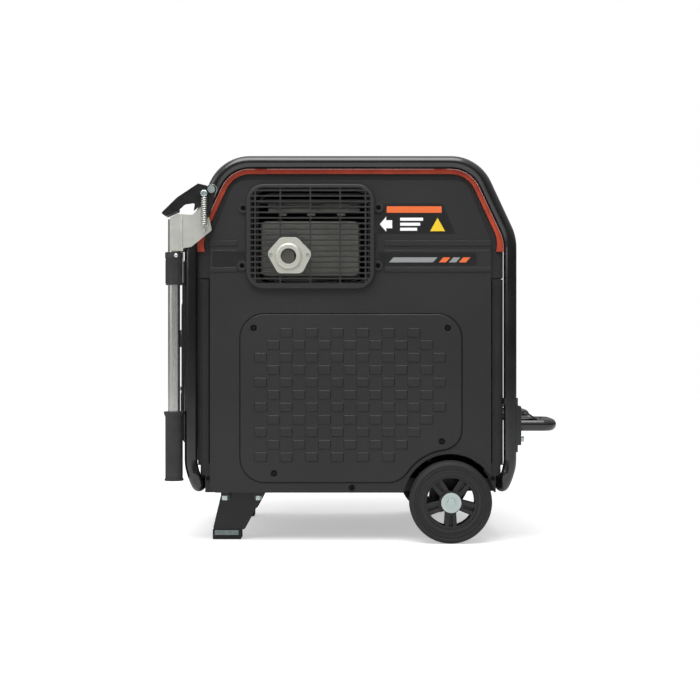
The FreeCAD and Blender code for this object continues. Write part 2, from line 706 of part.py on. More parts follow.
def release_lever():
    """Black lever of the near handle: a cheek on the pivot pin and a full width finger pull."""
    outline = [
        (-376.6, 658), (-345, 689), (-303, 717), (-286, 713), (-269, PIVOT_Z - 6),
        (-280, 650), (-296, 650), (-297.5, 674), (-311.8, 662), (-309, 678), (-329, 675),
        (-342, 663), (-367, 652),
    ]
    radii = [3, 40, 4, 3, 3, 4, 3, 1.5, 0.8, 3, 8, 2, 2]
    cheek = plate(outline, radii, -LEVER_OUT, -LEVER_IN)
    hub = rod_y(PIVOT_X, PIVOT_Z, 10, -LEVER_OUT, -LEVER_IN)
    full_width = block(-400, -343, -LEVER_IN, -CHEEK_IN - 1, 600, 750)
    pull = plate(outline, radii, -LEVER_IN, -CHEEK_IN - 1).common(full_width)
    spring_pin = rod_y(SPRING_X, SPRING_PIN_Z, 3, -SPRING_Y - 2.5, -LEVER_OUT)
    pin_head = rod_y(SPRING_X, SPRING_PIN_Z, 6.5, -SPRING_Y - 4.5, -SPRING_Y - 2.5)
    lever = cheek.multiFuse([hub, pull, spring_pin, pin_head])
    bore = rod_y(PIVOT_X, PIVOT_Z, PIVOT_PIN_R + RUNNING_GAP, -300, -200)
    return one_solid(lever.cut(bore))


def release_spring():
    """Envelope of the tension spring between the fork and the lever."""
    start = (SPRING_X, -SPRING_Y, SPRING_LOW)
    end = (SPRING_X, -SPRING_Y, SPRING_HIGH)
    return rod(start, end, SPRING_R).cut(rod(start, end, SPRING_R - 1.6))


def fasteners():
    """Zinc plated pins, bolts and washers of the near side."""
    pin = rod_y(PIVOT_X, PIVOT_Z, PIVOT_PIN_R, -LEVER_OUT - 0.4, -CHEEK_IN + CHEEK + 1)
    pin_head = rod_y(PIVOT_X, PIVOT_Z, 7.3, -LEVER_OUT - 4, -LEVER_OUT - 0.4)
    washer = rod_y(WHEEL_X, WHEEL_Z, 20, -WHEEL_OUT - 3.5, -WHEEL_OUT - 1)
    wheel_bolt = hexagon((WHEEL_X, -WHEEL_OUT - 3.5, WHEEL_Z), (0, -1, 0), 15, 6)
    foot_bolts = [
        hexagon((x, -FOOT_OUT - 8, 90), (0, 0, -1), 13, 9) for x in (-254, -188)
    ]
    loop_bolt = hexagon((LOOP_PLATE_X + 7, -LOOP_OUTER - 10, 208), (1, 0, 0), 9, 6)
    return [pin.fuse(pin_head), washer.fuse(wheel_bolt), loop_bolt] + foot_bolts


def flange_screws():
    """Two zinc plated screws at the flange's side corners."""
    front = -GRILLE_FACE - 3
    return [rod_y(OUTLET_X + x, OUTLET_Z + 4, 3.6, front - 2, front) for x in (-36, 38)]


def cover_screws():
    """Black screws of the service cover, the exhaust guard, the panel's foot and the gussets."""
    screws = [
        rod_y(x, z, 5.5, -PANEL_OUT - 2.4, -PANEL_OUT - 1) for x, z in cover_screw_places()
    ]
    screws += [
        rod_y(x, z, 4.6, -PANEL_OUT - 3, -PANEL_OUT - 1.5) for x, z in grille_screw_places()
    ]
    screws.append(rod_y(2.6, 110, 6, -PANEL_OUT - 1.5, -PANEL_OUT))
    gusset_bolt = hexagon((286, -249, 128), (0, -1, 0), 8, 3)
    for bolt in (gusset_bolt, gusset_bolt.mirror(Vector(0, 0, 0), Vector(1, 0, 0))):
        screws += [bolt, mirrored(bolt)]
    return screws


# ---- Controls ----

def sockets():
    """Grounded household outlet and a larger round outlet, each with two hinge ears."""
    pieces = []
    for y, z, half, well, pins in (
        (SOCKET_Y, SOCKET_Z, 27, 20, [(-9.5, 0), (9.5, 0)]),
        (ROUND_SOCKET_Y, ROUND_SOCKET_Z, 36, 24, [(0, 13), (12, -8), (-12, -8)]),
    ):
        bezel = front_plate(y - half, y + half, z - half, z + half, 6, PLATE_FRONT - 4, PLATE_FRONT)
        barrel = rod((PLATE_FRONT, y, z), (PLATE_FRONT + 26, y, z), well + 3)
        recess = rod((PLATE_FRONT - 5, y, z), (PLATE_FRONT + 18, y, z), well)
        holes = [
            rod((PLATE_FRONT + 10, y + a, z + b), (PLATE_FRONT + 24, y + a, z + b), 2.6)
            for a, b in pins
        ]
        top = z + half + 3
        ears = []
        for side in (-1, 1):
            edge = y + side * (half - 6)
            ears.append(block(PLATE_FRONT - 9, PLATE_FRONT, edge - 3, edge + 3, top - 4, top + 4))
        pin = rod((PLATE_FRONT - 5, y - half + 6, top), (PLATE_FRONT - 5, y + half - 6, top), 1.5)
        pieces.append(one_solid(bezel.multiFuse([barrel, pin] + ears).cut([recess] + holes)))
    return pieces


def socket_lid(y, z, half):
    """Sprung lid in front of an outlet, turning on the pin between the ears."""
    front, back = PLATE_FRONT - 8, PLATE_FRONT - 4.4
    top = z + half + 3
    leaf = front_plate(y - half, y + half, z - half, z + half - 5, 6, front, back)
    knuckle_half = half - 10
    knuckle = rod((PLATE_FRONT - 5, y - knuckle_half, top), (PLATE_FRONT - 5, y + knuckle_half, top), 3)
    neck = block(front, back, y - knuckle_half, y + knuckle_half, z + half - 8, top)
    pull = block(front - 4, front, y - 8, y + 8, z - half + 2, z - half + 5)
    bore = rod((PLATE_FRONT - 5, y - half, top), (PLATE_FRONT - 5, y + half, top), 1.5 + RUNNING_GAP)
    return one_solid(leaf.multiFuse([knuckle, neck, pull]).cut(bore))


def start_button():
    """Round push button with a collar behind the panel that stops it."""
    stem = rod((PLATE_FRONT - 6, BUTTON_Y, KNOB_Z), (PLATE_FRONT + 8, BUTTON_Y, KNOB_Z), 9.5)
    collar = rod((PLATE_FRONT + 6.5, BUTTON_Y, KNOB_Z), (PLATE_FRONT + 9, BUTTON_Y, KNOB_Z), 12)
    return one_solid(stem.fuse(collar))


def engine_knob():
    """Rotary engine switch: a knob with a finger bar on a shaft through the panel."""
    front = PLATE_FRONT
    disc = rod((front - 6, KNOB_Y, KNOB_Z), (front - 0.6, KNOB_Y, KNOB_Z), 19)
    bar = front_plate(KNOB_Y - 4.5, KNOB_Y + 4.5, KNOB_Z - 18, KNOB_Z + 18, 4, front - 16, front - 6)
    shaft = rod((front - 0.6, KNOB_Y, KNOB_Z), (front + 14, KNOB_Y, KNOB_Z), 4)
    return one_solid(disc.multiFuse([bar, shaft]))


def rocker(y, half_width, half_height):
    """Rocker that tips about a level line, its face lower in the middle."""
    profile = [
        (PLATE_FRONT - 5, KNOB_Z + half_height), (PLATE_FRONT - 3, KNOB_Z),
        (PLATE_FRONT - 5, KNOB_Z - half_height), (PLATE_FRONT + 5, KNOB_Z - half_height * 0.7),
        (PLATE_FRONT + 5, KNOB_Z + half_height * 0.7),
    ]
    return plate(profile, [1, 30, 1, 2, 2], y - half_width, y + half_width)


def display():
    return front_plate(
        DISPLAY_Y - 32, DISPLAY_Y + 32, KNOB_Z - 18, KNOB_Z + 18, 3, PLATE_FRONT - 3, PLATE_FRONT,
    )


def earth_terminal():
    """Threaded earth stud with its nut."""
    y, z = 155, 240
    stud = rod((PLATE_FRONT - 18, y, z), (PLATE_FRONT, y, z), 3)
    return one_solid(stud.fuse(hexagon((PLATE_FRONT, y, z), (-1, 0, 0), 10, 5)))


# ---- Fuel ----

def fuel_tank():
    """Moulded tank on the far side under the hood, with its filler neck."""
    body = block(-90, 240, 15, 225, 610, 722)
    body = body.makeFillet(24, body.Edges)
    neck = rod((CAP_X, CAP_Y, 700), (CAP_X, CAP_Y, 751), NECK_R)
    bore = rod((CAP_X, CAP_Y, 640), (CAP_X, CAP_Y, 760), NECK_R - 3)
    inside = block(-86, 236, 19, 221, 614, 718)
    inside = inside.makeFillet(20, inside.Edges)
    return one_solid(body.fuse(neck).cut([bore, inside]))


def fuel_cap():
    """Cap that turns on the filler neck, with finger notches round its edge."""
    low = HOOP_TOP - COVER_INSET + 1
    cap = rod((CAP_X, CAP_Y, low), (CAP_X, CAP_Y, HOOP_TOP - 6), CAP_R)
    cap = cap.cut(rod((CAP_X, CAP_Y, low - 1), (CAP_X, CAP_Y, 753), NECK_R + 0.5))
    notches = []
    for i in range(10):
        turn = math.radians(36 * i)
        x = CAP_X + (CAP_R + 3) * math.cos(turn)
        y = CAP_Y + (CAP_R + 3) * math.sin(turn)
        notches.append(rod((x, y, low + 3), (x, y, HOOP_TOP), 6))
    return one_solid(cap.cut(notches))


# ---- Engine set ----

def engine_block():
    """Crankcase with its mounting rails."""
    case = block(-110, 60, -85, 85, 148, 335)
    case = case.makeFillet(18, [e for e in case.Edges if e.BoundBox.XLength < 1])
    rails = [block(-150, 150, y - 16, y + 16, 136, 148) for y in (-85, 85)]
    bore = rod((-200, 0, CRANK_Z), (100, 0, CRANK_Z), 12 + RUNNING_GAP)
    return one_solid(case.multiFuse(rails).cut(bore))


def cylinder():
    """Finned barrel and head on top of the crankcase."""
    barrel = rod((-25, 0, 335), (-25, 0, 430), 46)
    fins = [block(-85, 35, -62, 62, 345 + 11 * i, 349 + 11 * i) for i in range(8)]
    head = block(-85, 35, -62, 62, 430, 482)
    head = head.makeFillet(8, [e for e in head.Edges if e.BoundBox.ZMax > 431])
    return one_solid(barrel.multiFuse(fins + [head]))


def stator():
    ring = rod((60, 0, CRANK_Z), (100, 0, CRANK_Z), 72)
    return ring.cut(rod((50, 0, CRANK_Z), (110, 0, CRANK_Z), 20))


def rotor():
    """Crankshaft with the magnet cup around the stator and the cooling fan."""
    shaft = rod((-100, 0, CRANK_Z), (120, 0, CRANK_Z), 12)
    cup = rod((64, 0, CRANK_Z), (116, 0, CRANK_Z), 86)
    cup = cup.cut(rod((60, 0, CRANK_Z), (108, 0, CRANK_Z), 76))
    blades = []
    for i in range(12):
        blade = block(116, 138, 32, 84, CRANK_Z - 2, CRANK_Z + 2)
        blade.rotate(Vector(0, 0, CRANK_Z), Vector(1, 0, 0), 30 * i)
        blades.append(blade)
    return one_solid(cup.multiFuse([shaft] + blades))


def engine_mounts():
    """Four rubber mounts between the tray and the engine rails."""
    floor = TRAY_BOTTOM + TRAY_WALL
    return [
        rod((x, y, floor), (x, y, 136), 15) for x in (-130, 130) for y in (-85, 85)
    ]


def muffler():
    """Hollow muffler box with rounded sides, its end plate towards the near side."""
    box = rounded_plate(-183, 20, 533, 647, 14, -236, -50)
    box = box.makeFillet(5, [e for e in box.Edges if e.BoundBox.YMax < -235])
    return one_solid(box.cut(rounded_plate(-180, 17, 536, 644, 11, -232, -53)))


def exhaust_outlet():
    """Outlet pipe from the muffler's end plate, with a flange and a rolled ring outside the guard."""
    front = -GRILLE_FACE - 3
    pipe = rod_y(OUTLET_X, OUTLET_Z, OUTLET_PIPE_R, front, -236)
    flange = flange_plate(0, front, front + 4)
    flange = flange.makeChamfer(0.8, [e for e in flange.Edges if e.BoundBox.YMax < front + 0.01])
    ring = rod_y(OUTLET_X, OUTLET_Z, 26, front - 5, front)
    ring = ring.makeFillet(4, [e for e in ring.Edges if e.BoundBox.YMax < front - 4.9])
    outlet = pipe.multiFuse([flange, ring])
    return one_solid(outlet.cut(rod_y(OUTLET_X, OUTLET_Z, OUTLET_BORE, front - 6, -230)))


def exhaust_surround():
    """Sheet metal duct behind the guard, with a shelf above the muffler."""
    duct = rounded_plate(-188, 40, 513, 701, 30, -250, -200)
    duct = duct.cut(rounded_plate(-185, 37, 516, 698, 28, -251, -199))
    shelf = rounded_plate(-185, 37, 681, 689, 3, -246, -205)
    tabs = [block(x, x + 14, -246, -243, 671, 681) for x in (-150, -75, 0)]
    return one_solid(duct.multiFuse([shelf] + tabs))


def inverter_unit():
    """Inverter in a finned aluminium case behind the control panel."""
    case = block(-290, -240, -150, 150, 210, 470)
    grooves = [block(-252, -239, -142 + 12 * i, -136 + 12 * i, 200, 480) for i in range(24)]
    return one_solid(case.cut(grooves))


def air_filter():
    """Air filter box beside the cylinder, with its intake snout."""
    box = block(60, 180, -205, -100, 350, 455)
    box = box.makeFillet(12, box.Edges)
    snout = rod((120, -150, 300), (120, -150, 352), 20)
    return one_solid(box.fuse(snout))


def battery():
    case = block(178, 263, 40, 190, TRAY_BOTTOM + TRAY_WALL, 235)
    posts = [rod((220, y, 235), (220, y, 245), 7) for y in (65, 165)]
    return one_solid(case.multiFuse(posts))


def save_all():
    os.makedirs(STEP_FOLDER, exist_ok=True)

    save_pair("hoop", hoop())
    save("bottom_tubes", bottom_tube(-CROSS_TUBE_X), bottom_tube(CROSS_TUBE_X))
    save("top_tubes", top_tube(-TOP_TUBE_X), top_tube(TOP_TUBE_X))
    pillars = [corner_pillar(-1), corner_pillar(1)]
    save("corner_pillars", *pillars, *[mirrored(pillar) for pillar in pillars])

    save("base_tray", base_tray())
    save("top_cover", top_cover())
    strip = trim_strip()
    save("trim_strips", strip, mirrored(strip))
    save("side_panel_near", side_panel_near())
    save("side_panel_far", side_panel_far())
    save("service_cover", service_cover())
    save("exhaust_grille", exhaust_grille())
    save("front_panel", console())
    save("control_plate", control_plate())
    save("rear_panel", rear_panel())

    save_pair("tyre", tyre())
    save_pair("wheel_rim", rim())
    save("axle", axle())
    save("axle_brackets", axle_bracket(), mirrored(axle_bracket()))
    save_pair("front_foot", front_foot())
    save("foot_pads", foot_pad(), mirrored(foot_pad()))
    save_pair("lifting_loop", lifting_loop())

    save_pair("handle_bracket", handle_bracket())
    save_pair("handle_tube", handle_tube())
    save_pair("handle_grip", handle_grip())
    save_pair("release_lever", release_lever())
    save_pair("release_spring", release_spring())
    zinc = fasteners()
    save("zinc_fasteners", *zinc, *[mirrored(piece) for piece in zinc], *flange_screws())
    save("cover_screws", *cover_screws())

    save("power_sockets", *sockets())
    save("socket_lid", socket_lid(SOCKET_Y, SOCKET_Z, 27))
    save("round_socket_lid", socket_lid(ROUND_SOCKET_Y, ROUND_SOCKET_Z, 36))
    save("start_button", start_button())
    save("engine_knob", engine_knob())
    save("eco_rocker", rocker(ROCKER_Y, 8, 13))
    save("breaker_rocker", rocker(BREAKER_Y, 14, 19))
    save("display", display())
    save("earth_terminal", earth_terminal())

    save("fuel_tank", fuel_tank())
    save("fuel_cap", fuel_cap())
    save("engine_block", engine_block())
    save("cylinder", cylinder())
    save("stator", stator())
    save("rotor", rotor())
    save("engine_mounts", *engine_mounts())
    save("muffler", muffler())
    save("exhaust_outlet", exhaust_outlet())
    save("exhaust_surround", exhaust_surround())
    save("inverter_unit", inverter_unit())
    save("air_filter", air_filter())
    save("battery", battery())


save_all()
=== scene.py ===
import math

import bmesh
import bpy
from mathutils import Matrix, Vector


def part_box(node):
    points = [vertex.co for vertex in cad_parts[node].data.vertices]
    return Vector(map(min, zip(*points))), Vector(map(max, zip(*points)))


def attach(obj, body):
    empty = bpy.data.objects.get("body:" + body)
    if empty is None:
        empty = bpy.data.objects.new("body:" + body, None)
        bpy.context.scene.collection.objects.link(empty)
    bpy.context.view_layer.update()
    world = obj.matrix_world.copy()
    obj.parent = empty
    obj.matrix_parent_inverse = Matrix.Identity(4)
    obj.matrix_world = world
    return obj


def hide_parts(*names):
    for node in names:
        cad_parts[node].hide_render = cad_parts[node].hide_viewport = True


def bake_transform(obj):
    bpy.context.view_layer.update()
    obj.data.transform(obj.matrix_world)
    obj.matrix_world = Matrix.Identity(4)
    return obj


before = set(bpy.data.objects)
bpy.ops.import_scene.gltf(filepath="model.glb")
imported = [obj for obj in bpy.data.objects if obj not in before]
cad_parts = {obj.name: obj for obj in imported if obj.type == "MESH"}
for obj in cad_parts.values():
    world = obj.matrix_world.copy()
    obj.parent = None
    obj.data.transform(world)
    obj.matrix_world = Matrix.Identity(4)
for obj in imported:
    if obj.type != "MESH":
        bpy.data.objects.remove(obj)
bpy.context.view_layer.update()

# ---- Tube frame: two hoops joined by bottom and top cross tubes ----
# Bent 26 mm steel tube, welded, then dipped and stoved in black gloss enamel.
# The enamel flows out to a deep shine with a faint orange peel about 3 mm across.


def linear(hex_colour):
    """An sRGB hex colour as linear RGBA."""
    channels = [int(hex_colour[i:i + 2], 16) / 255 for i in (1, 3, 5)]
    return [c / 12.92 if c <= 0.04045 else ((c + 0.055) / 1.055) ** 2.4 for c in channels] + [1.0]


def add_node(tree, kind, values=None, links=None, **settings):
    """Add a node with its settings, socket values and incoming links."""
    made = tree.nodes.new("ShaderNode" + kind)
    for name, value in settings.items():
        setattr(made, name, value)
    for socket, value in (values or {}).items():
        made.inputs[socket].default_value = value
    for socket, source in (links or {}).items():
        tree.links.new(source, made.inputs[socket])
    return made


def start_finish(name, hex_colour, roughness, metallic=0.0, **shader_values):
    """A new material with its even values set on the shader, and its nodes to add to."""
    material = bpy.data.materials.new(name)
    material.use_nodes = True
    tree = material.node_tree
    shader = tree.nodes["Principled BSDF"]
    shader.inputs["Base Color"].default_value = linear(hex_colour)
    shader.inputs["Roughness"].default_value = roughness
    shader.inputs["Metallic"].default_value = metallic
    for socket, value in shader_values.items():
        shader.inputs[socket.replace("_", " ")].default_value = value
    material.diffuse_color = linear(hex_colour)
    return material, tree, shader


def place_in(tree, pattern_mm, stretch=(1, 1, 1)):
    """Object coordinates scaled so that one pattern cell is pattern_mm wide."""
    where = add_node(tree, "TexCoord").outputs["Object"]
    scale = [1000 * s / pattern_mm for s in stretch]
    return add_node(tree, "Mapping", {"Scale": scale}, {"Vector": where}).outputs["Vector"]


def tint_between(tree, shader, factor, hex_low, hex_high):
    """Let a pattern move the base colour between two hex colours."""
    ramp = add_node(tree, "ValToRGB", links={"Fac": factor})
    ramp.color_ramp.elements[0].color = linear(hex_low)
    ramp.color_ramp.elements[1].color = linear(hex_high)
    ramp.color_ramp.elements[0].position = 0.3
    ramp.color_ramp.elements[1].position = 0.7
    tree.links.new(ramp.outputs["Color"], shader.inputs["Base Color"])


def vary_roughness(tree, shader, factor, low, high):
    """Let a pattern move the roughness between two values."""
    spread = add_node(tree, "MapRange", {"To Min": low, "To Max": high}, {"Value": factor})
    tree.links.new(spread.outputs["Result"], shader.inputs["Roughness"])


def raise_surface(tree, shader, height, depth_mm, edge_mm=0.0):
    """Bump the surface by a pattern, on edges that are broken by edge_mm."""
    links = {"Height": height}
    if edge_mm:
        links["Normal"] = add_node(tree, "Bevel", {"Radius": edge_mm / 1000}, samples=4).outputs["Normal"]
    bump = add_node(tree, "Bump", {"Distance": depth_mm / 1000}, links)
    tree.links.new(bump.outputs["Normal"], shader.inputs["Normal"])


def noise(tree, pattern_mm, detail=3.0, stretch=(1, 1, 1)):
    """A soft cloudy pattern, its cells pattern_mm wide."""
    where = place_in(tree, pattern_mm, stretch)
    return add_node(tree, "TexNoise", {"Scale": 1.0, "Detail": detail}, {"Vector": where}).outputs["Fac"]


def dress(material, *nodes):
    """Give CAD nodes one finish."""
    for name in nodes:
        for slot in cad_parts[name].material_slots:
            slot.material = material


def black_gloss_enamel():
    """Stoved enamel: nearly black, a wet shine, and a film of handling dust that dulls it in places."""
    material, tree, shader = start_finish("black_gloss_enamel", "#0b0b0c", 0.2, IOR=1.5)
    shader.inputs["Coat Weight"].default_value = 0.5
    shader.inputs["Coat Roughness"].default_value = 0.08
    dust = noise(tree, 70, 4)
    tint_between(tree, shader, dust, "#09090a", "#121213")
    vary_roughness(tree, shader, dust, 0.16, 0.3)
    raise_surface(tree, shader, noise(tree, 3), 0.03)
    return material


enamel = black_gloss_enamel()
dress(enamel, "hoop_near", "hoop_far", "bottom_tubes", "top_tubes")
dress(enamel, "lifting_loop_near", "lifting_loop_far")

# ---- Case: hood, side panels, front and rear panels ----
# Injection moulded ABS in soft black. The mould is spark eroded, which leaves a fine even
# grain; real grain is about 0.5 mm, drawn here at 1.4 mm so that it shows.


def grained_black_abs():
    """Matt black with grain; handling and heat leave broad lighter clouds."""
    material, tree, shader = start_finish("grained_black_abs", "#121213", 0.5, IOR=1.53)
    clouds = noise(tree, 240, 3)
    tint_between(tree, shader, clouds, "#0f0f10", "#161617")
    vary_roughness(tree, shader, clouds, 0.44, 0.56)
    raise_surface(tree, shader, noise(tree, 1.4, 2), 0.05, edge_mm=1.2)
    return material


grained_abs = grained_black_abs()
dress(grained_abs, "top_cover", "side_panel_near", "side_panel_far", "front_panel", "rear_panel")
dress(grained_abs, "service_cover")

# ---- Steel carrying parts: tray, corner pillars, feet and axle hangers ----
# Pressed sheet steel with a black powder coat, which bakes to a fine pebbled satin.
# The pebbles are about 1 mm, drawn at 2 mm, and the pressed edges look slightly lighter.


def black_powder_coat():
    """Satin black with pebbles and a little grey dust low down."""
    material, tree, shader = start_finish("black_powder_coat", "#121213", 0.42, IOR=1.5)
    dust = noise(tree, 45, 4)
    tint_between(tree, shader, dust, "#0f0f10", "#19191a")
    vary_roughness(tree, shader, dust, 0.36, 0.52)
    raise_surface(tree, shader, noise(tree, 2.0, 2), 0.06, edge_mm=0.8)
    return material


powder_coat = black_powder_coat()
dress(powder_coat, "base_tray", "corner_pillars", "front_foot_near", "front_foot_far", "axle_brackets")

# ---- Trim strips: the painted edge of the hood on each side ----
# A moulded strip sprayed in red-orange two-pack paint, clipped over the hood's rim.
# The paint is satin, a little darker where it thins out along the edges.


def red_orange_paint():
    """Satin solid colour with slight flow marks."""
    material, tree, shader = start_finish("red_orange_paint", "#b23f27", 0.36, IOR=1.5)
    flow = noise(tree, 30, 3)
    tint_between(tree, shader, flow, "#a33822", "#bd472c")
    vary_roughness(tree, shader, flow, 0.3, 0.42)
    raise_surface(tree, shader, noise(tree, 4), 0.03, edge_mm=1.0)
    return material


trim_paint = red_orange_paint()
dress(trim_paint, "trim_strips")

# ---- Service cover: rows of raised blocks and four screws ----
# The blocks are moulded with the cover, in staggered rows, as a grip and a stiffener.
# Rows stop short of the screws and of the cut for the wheel.


def new_piece(name, vertices, faces, material, body, slot, smooth_angle=40, bevel_mm=0.0):
    """A mesh piece in place: its finish, soft shading, broken edges, and the body it rides on."""
    mesh = bpy.data.meshes.new(name)
    mesh.from_pydata([tuple(v) for v in vertices], [], faces)
    mesh.validate()
    mesh.materials.append(material)
    piece = bpy.data.objects.new(name, mesh)
    bpy.context.scene.collection.objects.link(piece)
    shape = bmesh.new()
    shape.from_mesh(mesh)
    bmesh.ops.recalc_face_normals(shape, faces=shape.faces)
    shape.to_mesh(mesh)
    shape.free()
    mesh.shade_smooth()
    mesh.set_sharp_from_angle(angle=math.radians(smooth_angle))
    if bevel_mm:
        bevel = piece.modifiers.new("broken_edges", "BEVEL")
        bevel.width = bevel_mm / 1000
        bevel.segments = 2
        bevel.limit_method = "ANGLE"
        bevel.angle_limit = math.radians(35)
    if body:
        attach(piece, body)
    return piece


def facing(side):
    """+1 on the far side (+Y), -1 on the near side (-Y)."""
    return 1 if side == "far" else -1


def prisms(name, shapes, across, material, body, slot, **looks):
    """One piece of straight-sided solids: each has its corners, two ends along an axis, and how
    far its second end draws in towards its middle. Everything is in metres."""
    place = {
        "x": lambda a, b, along: (along, a, b),
        "y": lambda a, b, along: (a, along, b),
        "z": lambda a, b, along: (a, b, along),
    }[across]
    vertices = []
    faces = []
    for corners, first, second, draw_in in shapes:
        start = len(vertices)
        count = len(corners)
        mid_a = sum(a for a, b in corners) / count
        mid_b = sum(b for a, b in corners) / count
        vertices += [place(a, b, first) for a, b in corners]
        for a, b in corners:
            inward_a = math.copysign(min(draw_in, abs(mid_a - a)), mid_a - a)
            inward_b = math.copysign(min(draw_in, abs(mid_b - b)), mid_b - b)
            vertices.append(place(a + inward_a, b + inward_b, second))
        faces.append([start + i for i in range(count)])
        faces.append([start + count + i for i in range(count)])
        for i in range(count):
            j = (i + 1) % count
            faces.append([start + i, start + j, start + count + j, start + count + i])
    return new_piece(name, vertices, faces, material, body, slot, **looks)


def oblong(a0, a1, b0, b1, slant=0.0):
    """Corners of an upright rectangle, its top shifted by slant."""
    return [(a0, b0), (a1, b0), (a1 + slant, b1), (a0 + slant, b1)]


def raised_blocks():
    """Staggered rows of blocks over the service cover."""
    low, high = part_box("service_cover")
    wheel_low, wheel_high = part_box("wheel_rim_near")
    wheel = (wheel_low + wheel_high) / 2
    pitch_x, pitch_z = 0.0512, 0.0249
    half_x, half_z, height, slope = 0.0128, 0.0095, 0.0018, 0.0014
    first_x, first_z = low.x + 0.041, high.z - 0.037
    rear_margin, wheel_clearance = 0.04, 0.145
    corner_wide, corner_high = 0.06, 0.05
    blocks = []
    for row in range(11):
        z = first_z - row * pitch_z
        for column in range(8):
            x = first_x + (column + 0.5 * (row % 2)) * pitch_x
            beyond = x > high.x - rear_margin
            near_wheel = math.hypot(x - wheel.x, z - wheel.z) < wheel_clearance
            between_corners = low.x + corner_wide < x < high.x - corner_wide
            near_screw = z > high.z - corner_high and not between_corners
            if not (beyond or near_wheel or near_screw):
                outline = oblong(x - half_x, x + half_x, z - half_z, z + half_z)
                blocks.append((outline, low.y, low.y - height, slope))
    prisms("cover_blocks", blocks, "y", grained_abs, "frame", "case_plastic", bevel_mm=0.4)


raised_blocks()

# ---- Screws of the service cover and of the exhaust guard ----
# Hot blackened steel with a cross recess, sunk in dimples. The black oxide is thin, so it
# stays a dark metal with a soft shine.


def blackened_steel():
    """Dark blue-grey metal with slightly uneven shine."""
    material, tree, shader = start_finish("blackened_steel", "#141416", 0.42, metallic=0.9)
    vary_roughness(tree, shader, noise(tree, 2), 0.3, 0.45)
    raise_surface(tree, shader, noise(tree, 1), 0.01, edge_mm=0.5)
    return material


def recess_shadow():
    """Painted shade: a flat near-black for the shade at the bottom of screw recesses and sockets."""
    material, tree, shader = start_finish("recess_shadow", "#060606", 0.7)
    vary_roughness(tree, shader, noise(tree, 2), 0.6, 0.8)
    return material


screw_black = blackened_steel()
# Painted shade: a flat near-black material for the shade inside the screw recesses.
painted_recess_shade = recess_shadow()
dress(screw_black, "cover_screws")


def screw_recesses():
    """Cross recesses in the heads of the service cover's four screws, drawn as flat marks of painted shade.
    """
    low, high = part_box("service_cover")
    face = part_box("cover_screws")[0].y + 0.0006
    half, thin = 0.0032, 0.0006
    slots = []
    for x, z in (
        (low.x + 0.027, high.z - 0.028), (high.x - 0.028, high.z - 0.028),
        (high.x - 0.040, low.z + 0.082), (low.x + 0.068, low.z + 0.018),
    ):
        for across, along in ((half, thin), (thin, half)):
            slots.append((oblong(x - across, x + across, z - along, z + along), face, face - 0.0003, 0))
    prisms("cover_screw_recesses", slots, "y", painted_recess_shade, "frame", "guard_black")


screw_recesses()

# ---- Labels on the near panel ----
# Printed polyester film, 0.3 mm, stuck on the panel and in its belt: black ground with plain
# bars and an arrow towards the hot outlet. They carry no lettering.


def printed_film(name, hex_colour):
    """Satin printed film: an even ink on a slightly rolling surface."""
    material, tree, shader = start_finish(name, hex_colour, 0.35, IOR=1.57)
    vary_roughness(tree, shader, noise(tree, 18), 0.28, 0.42)
    raise_surface(tree, shader, noise(tree, 9), 0.02)
    return material


film_black = printed_film("film_black", "#0d0d0e")
film_orange = printed_film("film_orange", "#e06a35")
film_white = printed_film("film_white", "#f2f2f0")
film_yellow = printed_film("film_yellow", "#e6c229")
film_grey = printed_film("film_grey", "#8a8c8d")


def near_labels():
    """Hot surface label beside the guard and the two films in the belt."""
    panel_low, panel_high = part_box("side_panel_near")
    guard_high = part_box("exhaust_grille")[1]
    skin = panel_low.y + 0.002
    belt = panel_low.y + 0.001
    ground, ink = 0.0003, 0.00045

    def film(name, corners, face, thick, material):
        prisms(name, [(corners, face, face - thick, 0)], "y", material, "frame", "case_plastic")

    left = guard_high.x - 0.0105
    low = panel_high.z - 0.107
    top = low + 0.060
    film("hot_label_ground", [
        (left, low), (left + 0.155, low), (left + 0.130, top - 0.002), (left + 0.120, top),
        (left + 0.016, top), (left, top - 0.020),
    ], skin, ground, film_black)
    bar = oblong(left + 0.017, left + 0.127, top - 0.018, top - 0.005)
    film("hot_label_bar", bar, skin, ink, film_orange)
    middle = low + 0.019
    film("hot_label_arrow", [
        (left + 0.003, middle), (left + 0.016, middle - 0.015), (left + 0.016, middle - 0.008),
        (left + 0.028, middle - 0.008), (left + 0.028, middle + 0.008),
        (left + 0.016, middle + 0.008), (left + 0.016, middle + 0.015),
    ], skin, ink, film_white)
    for line, length in enumerate((0.046, 0.040, 0.034)):
        z = low + 0.026 - 0.010 * line
        corners = oblong(left + 0.044, left + 0.044 + length, z, z + 0.006)
        film("hot_label_line_%d" % (line + 1), corners, skin, ink, film_white)
    film("hot_label_triangle", [
        (left + 0.104, low + 0.005), (left + 0.134, low + 0.005), (left + 0.119, low + 0.032),
    ], skin, ink, film_yellow)
    start = guard_high.x - 0.009
    belt_low = panel_low.z + 0.4555
    belt_top = belt_low + 0.0255
    film("belt_label_rear", oblong(start, start + 0.195, belt_low, belt_top), belt, ground, film_black)
    slant = 0.009
    for number, (x, wide, ink_film) in enumerate((
        (0.020, 0.088, film_grey), (0.120, 0.014, film_orange),
        (0.140, 0.014, film_grey), (0.160, 0.014, film_orange),
    )):
        corners = oblong(start + x, start + x + wide, belt_low + 0.006, belt_low + 0.016, slant)
        film("belt_bar_%d" % (number + 1), corners, belt, ink, ink_film)
    front = panel_low.x + 0.006
    corners = oblong(front, front + 0.064, belt_low - 0.002, belt_top + 0.002)
    film("belt_label_front", corners, belt, ground, film_black)


near_labels()

# ---- Exhaust guard ----
# Moulded in black glass-filled nylon, which stands the heat: a dull surface with a slightly
# dry look, its thin bars catching light on their broken edges.


